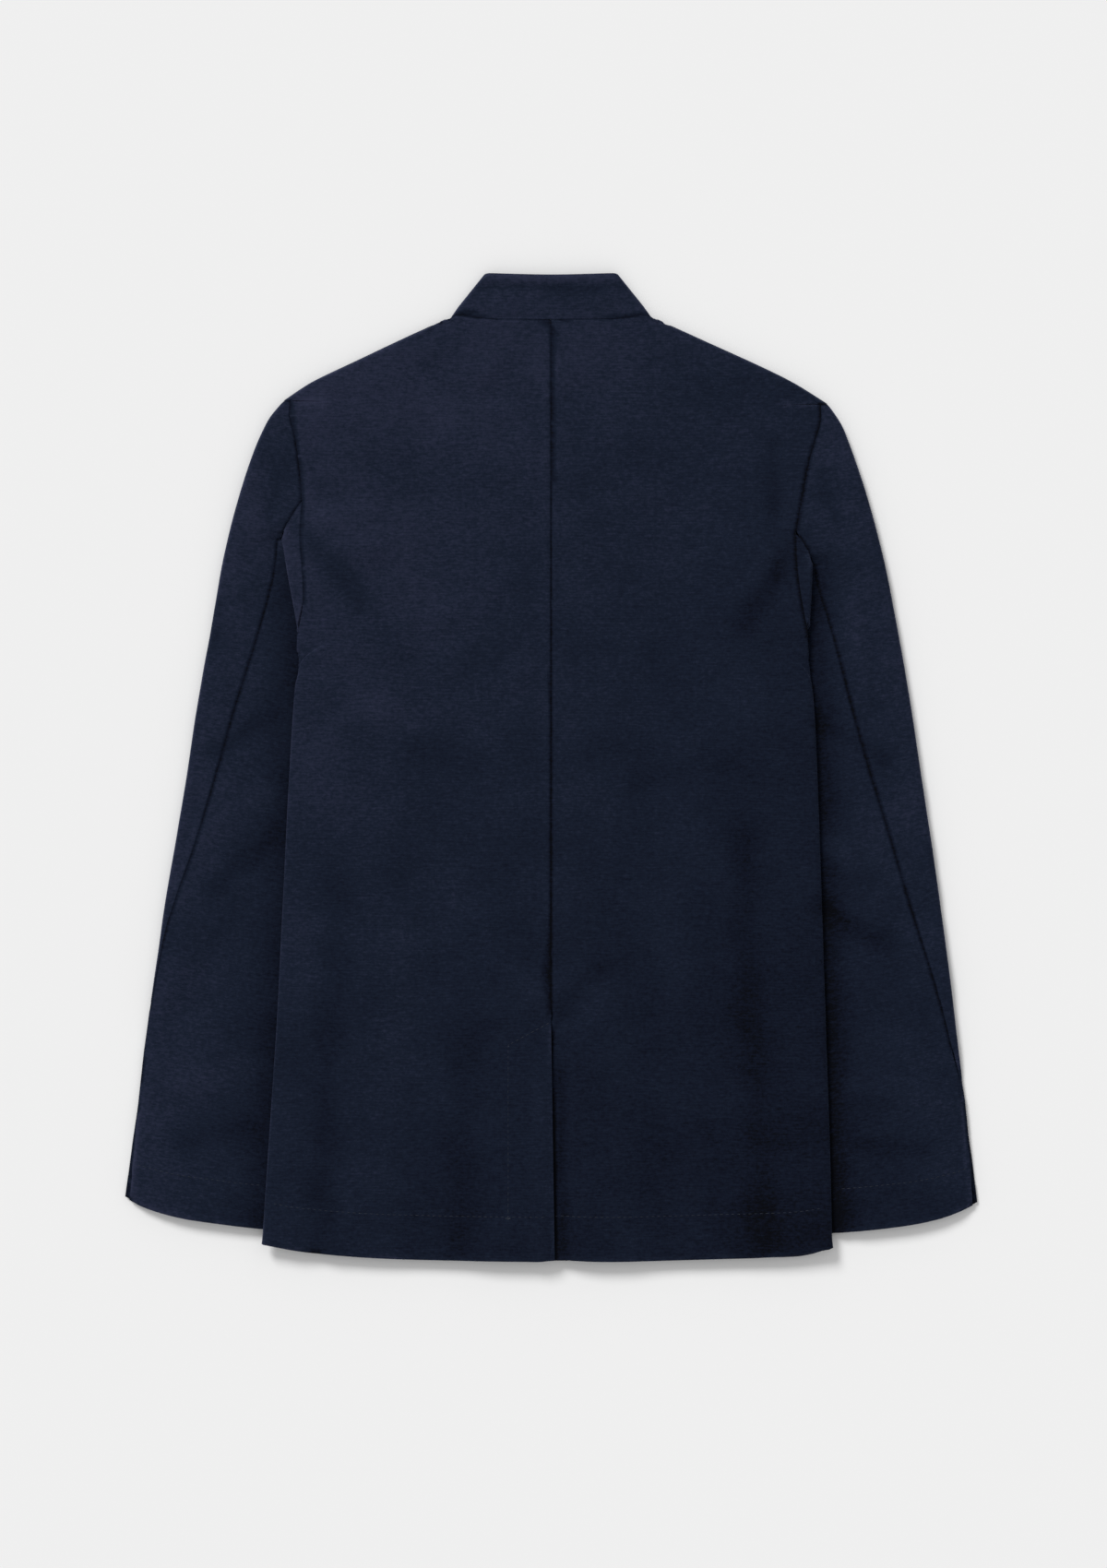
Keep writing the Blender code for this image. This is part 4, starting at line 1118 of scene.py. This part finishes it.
edge_x = front_edge - EDGE_STITCH
front_rows = [
    laid_on(front_surface, [(edge_x, EDGE_TOP), (edge_x, EDGE_LOW)], from_above=False),
    laid_on(fronts_below, along_edge(hem, HEM_DEPTH, -FRONT_HEM_END, front_edge - 8), from_above=False),
    laid_on(fronts_below, along_edge(hem, HEM_DEPTH, front_edge + 2, FRONT_HEM_END), from_above=False),
]
front_stitches = sew("stitches_fronts", front_rows)
buttonholes = []
for x, y, _ in button_spots:
    middle = y / MM
    outline = [
        (HOLE_IN, middle - HOLE_HALF), (HOLE_OUT, middle - HOLE_HALF), (HOLE_OUT, middle + HOLE_HALF),
        (HOLE_IN, middle + HOLE_HALF), (HOLE_IN, middle - HOLE_HALF),
    ]
    buttonholes.append(laid_on(front_surface, outline, from_above=False))
buttonhole_stitches = sew("stitches_buttonholes", buttonholes, **CORDED)
print("buttonholes:", len(buttonholes))

# %% [markdown]
# ## Buttons
#
# The five buttons are on the underside, since the jacket lies on its fronts. A button is turned on a lathe,
# so its section is spun round its axis: a rim, a shallow dish and a flat back. The four holes are drilled
# afterwards with a Boolean. All five are alike, so one is made and copied, and each copy's mesh is moved to its
# place.

# %% Button finish
PLASTIC_DARK = (0.004, 0.005, 0.010, 1.0)
PLASTIC_LIGHT = (0.016, 0.020, 0.034, 1.0)


def button_finish():
    """Dull plastic with a faint swirl in its colour and fine scuffs."""
    material, tree, shader, place = new_finish("navy_button")
    swirl = noise_on(tree, "swirl", place, (0.006, 0.003, 0.004), 3.0)
    scuffs = noise_on(tree, "scuffs", place, (0.0009, 0.0009, 0.0009), 3.0)
    coloured(tree, "plastic", swirl, (0, PLASTIC_DARK), (1, PLASTIC_LIGHT))
    tree.links.new(add_up(tree, "gloss", 0.28, (scuffs, 0.22)), shader.inputs["Roughness"])
    in_relief(tree, "scuffs", scuffs, strength=0.15, distance=0.0001)
    return material


navy_plastic = button_finish()
print("button finish:", navy_plastic.name)

# %% Turn and drill one button
BUTTON_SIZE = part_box("button_1")[1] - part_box("button_1")[0]
R, T = BUTTON_SIZE.x / 2 / MM, BUTTON_SIZE.z / MM
# The section (radius, height); the face is at height 0, because it lies on the table
SECTION = (
    (0, 0.9), (0.55 * R, 0.9), (0.64 * R, 0.7), (0.72 * R, 0.15), (0.78 * R, 0.0), (0.88 * R, 0.0),
    (0.95 * R, 0.25), (R, 0.9), (R, T - 1.0), (0.96 * R, T - 0.4), (0.88 * R, T), (0, T),
)
HOLE_RADIUS, HOLE_OFFSET = 0.95, 1.75
LATHE_STEPS = 48
SHARP_FROM = math.radians(38)


def lathe(section):
    """A closed mesh from a section that is spun round the z axis."""
    form = bmesh.new()
    corners = [form.verts.new((radius * MM, 0, height * MM)) for radius, height in section]
    edges = [form.edges.new(pair) for pair in zip(corners, corners[1:])]
    bmesh.ops.spin(
        form, geom=corners + edges, cent=(0, 0, 0), axis=(0, 0, 1), angle=2 * math.pi,
        steps=LATHE_STEPS, use_merge=True,
    )
    bmesh.ops.remove_doubles(form, verts=form.verts, dist=0.001 * MM)
    bmesh.ops.recalc_face_normals(form, faces=form.faces)
    mesh = bpy.data.meshes.new("button_blank")
    form.to_mesh(mesh)
    form.free()
    return mesh


def drills():
    """Four bits, for the four holes."""
    form = bmesh.new()
    radius, offset = HOLE_RADIUS * MM, HOLE_OFFSET * MM
    for across in (-offset, offset):
        for up in (-offset, offset):
            bit = bmesh.ops.create_cone(
                form, cap_ends=True, segments=16, radius1=radius, radius2=radius, depth=4 * T * MM
            )
            bmesh.ops.translate(form, vec=(across, up, 0), verts=bit["verts"])
    mesh = bpy.data.meshes.new("drills")
    form.to_mesh(mesh)
    form.free()
    return mesh


blank = bpy.data.objects.new("button_blank", lathe(SECTION))
bits = bpy.data.objects.new("drills", drills())
for tool in (blank, bits):
    bpy.context.scene.collection.objects.link(tool)
drilled = blank.modifiers.new("holes", "BOOLEAN")
drilled.operation, drilled.object, drilled.solver = "DIFFERENCE", bits, "EXACT"
button_mesh = applied(blank)
for tool in (blank, bits):
    bpy.data.objects.remove(tool, do_unlink=True)
button_mesh.shade_smooth()
button_mesh.set_sharp_from_angle(angle=SHARP_FROM)
button_mesh.materials.clear()
button_mesh.materials.append(navy_plastic)
print("button:", round(2 * R, 1), "mm across,", len(button_mesh.polygons), "faces")

# %% Place the buttons and sew them on
buttons = {}
for number, (x, y, _) in enumerate(button_spots, start=1):
    mesh = button_mesh.copy()
    shift = Vector((x, y, 0))
    for vertex in mesh.vertices:
        vertex.co += shift
    buttons[f"button_{number}"] = bpy.data.objects.new(f"sewn_button_{number}", mesh)
    bpy.context.scene.collection.objects.link(buttons[f"button_{number}"])

THREAD_HEIGHT = 0.62 * MM
BUTTON_THREAD = {"Stitch Length": 2.6 * MM, "Gap": -1.7 * MM, "Thread Radius": 0.42 * MM}

threads = []
offset = HOLE_OFFSET * MM
for x, y, _ in button_spots:
    for row_y in (y - offset, y + offset):
        ends = [(x - offset, row_y, THREAD_HEIGHT), (x + offset, row_y, THREAD_HEIGHT)]
        threads.append([tuple(a + (b - a) * share for a, b in zip(*ends)) for share in (0, 0.5, 1)])
button_threads = sew("stitches_buttons", threads, **BUTTON_THREAD)
print("buttons sewn on:", len(buttons))

# %% [markdown]
# ## Tie every piece to the frame
#
# Each piece of cloth and each button stands for one solid of the frame, which is hidden, and rides on the body
# named root. So do the stitches, which are listed with the piece that they are sewn to.

# %% Ride and replace
SEWN_TO = {
    "back_left": [hem_stitches, vent_stitches, tack_stitches],
    "sleeve_left_under": [cuff_stitches["left"]],
    "sleeve_right_under": [cuff_stitches["right"]],
    "front_left": [front_stitches, buttonhole_stitches, button_threads],
}
for stitches in [piece for pieces in SEWN_TO.values() for piece in pieces]:
    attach(stitches, "root")
for node, piece in walls.items():
    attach(piece, "root")
    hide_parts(node)
for node, piece in buttons.items():
    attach(piece, "root")
    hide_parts(node)

# %% [markdown]
# ## Floor and light
#
# The jacket lies on a plain pale surface. One large soft light stands low at the upper left: low light draws
# every crease, and its softness keeps the shadows at the right of the jacket pale. An even pale surrounding
# does the rest, and darkens only the places that see little of it, such as the gap beside each side fold,
# where painted shade in the cloth's colour adds to it.

# %% Floor
FLOOR_GAP = 0.2 * MM  # clear of the fronts' stitches, which reach 0.19 mm below the lying face
FLOOR_HALF = 15.0
FLOOR_COLOUR = (0.86, 0.86, 0.86, 1.0)

floor_mesh = bpy.data.meshes.new("floor")
floor_mesh.from_pydata(
    [(x * FLOOR_HALF, y * FLOOR_HALF, -FLOOR_GAP) for x, y in ((-1, -1), (1, -1), (1, 1), (-1, 1))],
    [], [(0, 1, 2, 3)],
)
floor = bpy.data.objects.new("floor", floor_mesh)
bpy.context.scene.collection.objects.link(floor)
pale = bpy.data.materials.new("pale_floor")
pale.use_nodes = True
for name, value in (("Base Color", FLOOR_COLOUR), ("Roughness", 1.0), ("Specular IOR Level", 0.0)):
    pale.node_tree.nodes["Principled BSDF"].inputs[name].default_value = value
floor_mesh.materials.append(pale)
floor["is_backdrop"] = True
print("floor:", 2 * FLOOR_HALF, "m square")

# %% Light
KEY_FROM = Vector((-1.6, 2.5, 2.0))
KEY_SOFTNESS = math.radians(20)
KEY_STRENGTH = 2.40
SURROUND = 0.58

world = bpy.data.worlds.new("pale_surround")
world.use_nodes = True
world.node_tree.nodes["Background"].inputs["Color"].default_value = (1.0, 1.0, 1.0, 1.0)
world.node_tree.nodes["Background"].inputs["Strength"].default_value = SURROUND
bpy.context.scene.world = world

key_light = bpy.data.lights.new("soft_light", "SUN")
key_light.energy = KEY_STRENGTH
key_light.angle = KEY_SOFTNESS
key = bpy.data.objects.new("soft_light", key_light)
key.location = KEY_FROM
key.rotation_euler = (-KEY_FROM).to_track_quat("-Z", "Y").to_euler()
bpy.context.scene.collection.objects.link(key)
bpy.context.scene.view_settings.view_transform = "Standard"
print("light height, degrees:", round(math.degrees(math.asin(KEY_FROM.z / KEY_FROM.length)), 1))

# %% [markdown]
# ## The size, before and after
#
# Softening must not change the jacket's size, so both boxes are printed side by side.

# %% Finish
sizes = {"cad": [list(cad_low), list(cad_high)], "visual": [list(corner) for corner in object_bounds()]}
for name, (low, high) in sizes.items():
    print(name, "box, mm:", [round((b - a) / MM, 1) for a, b in zip(low, high)])
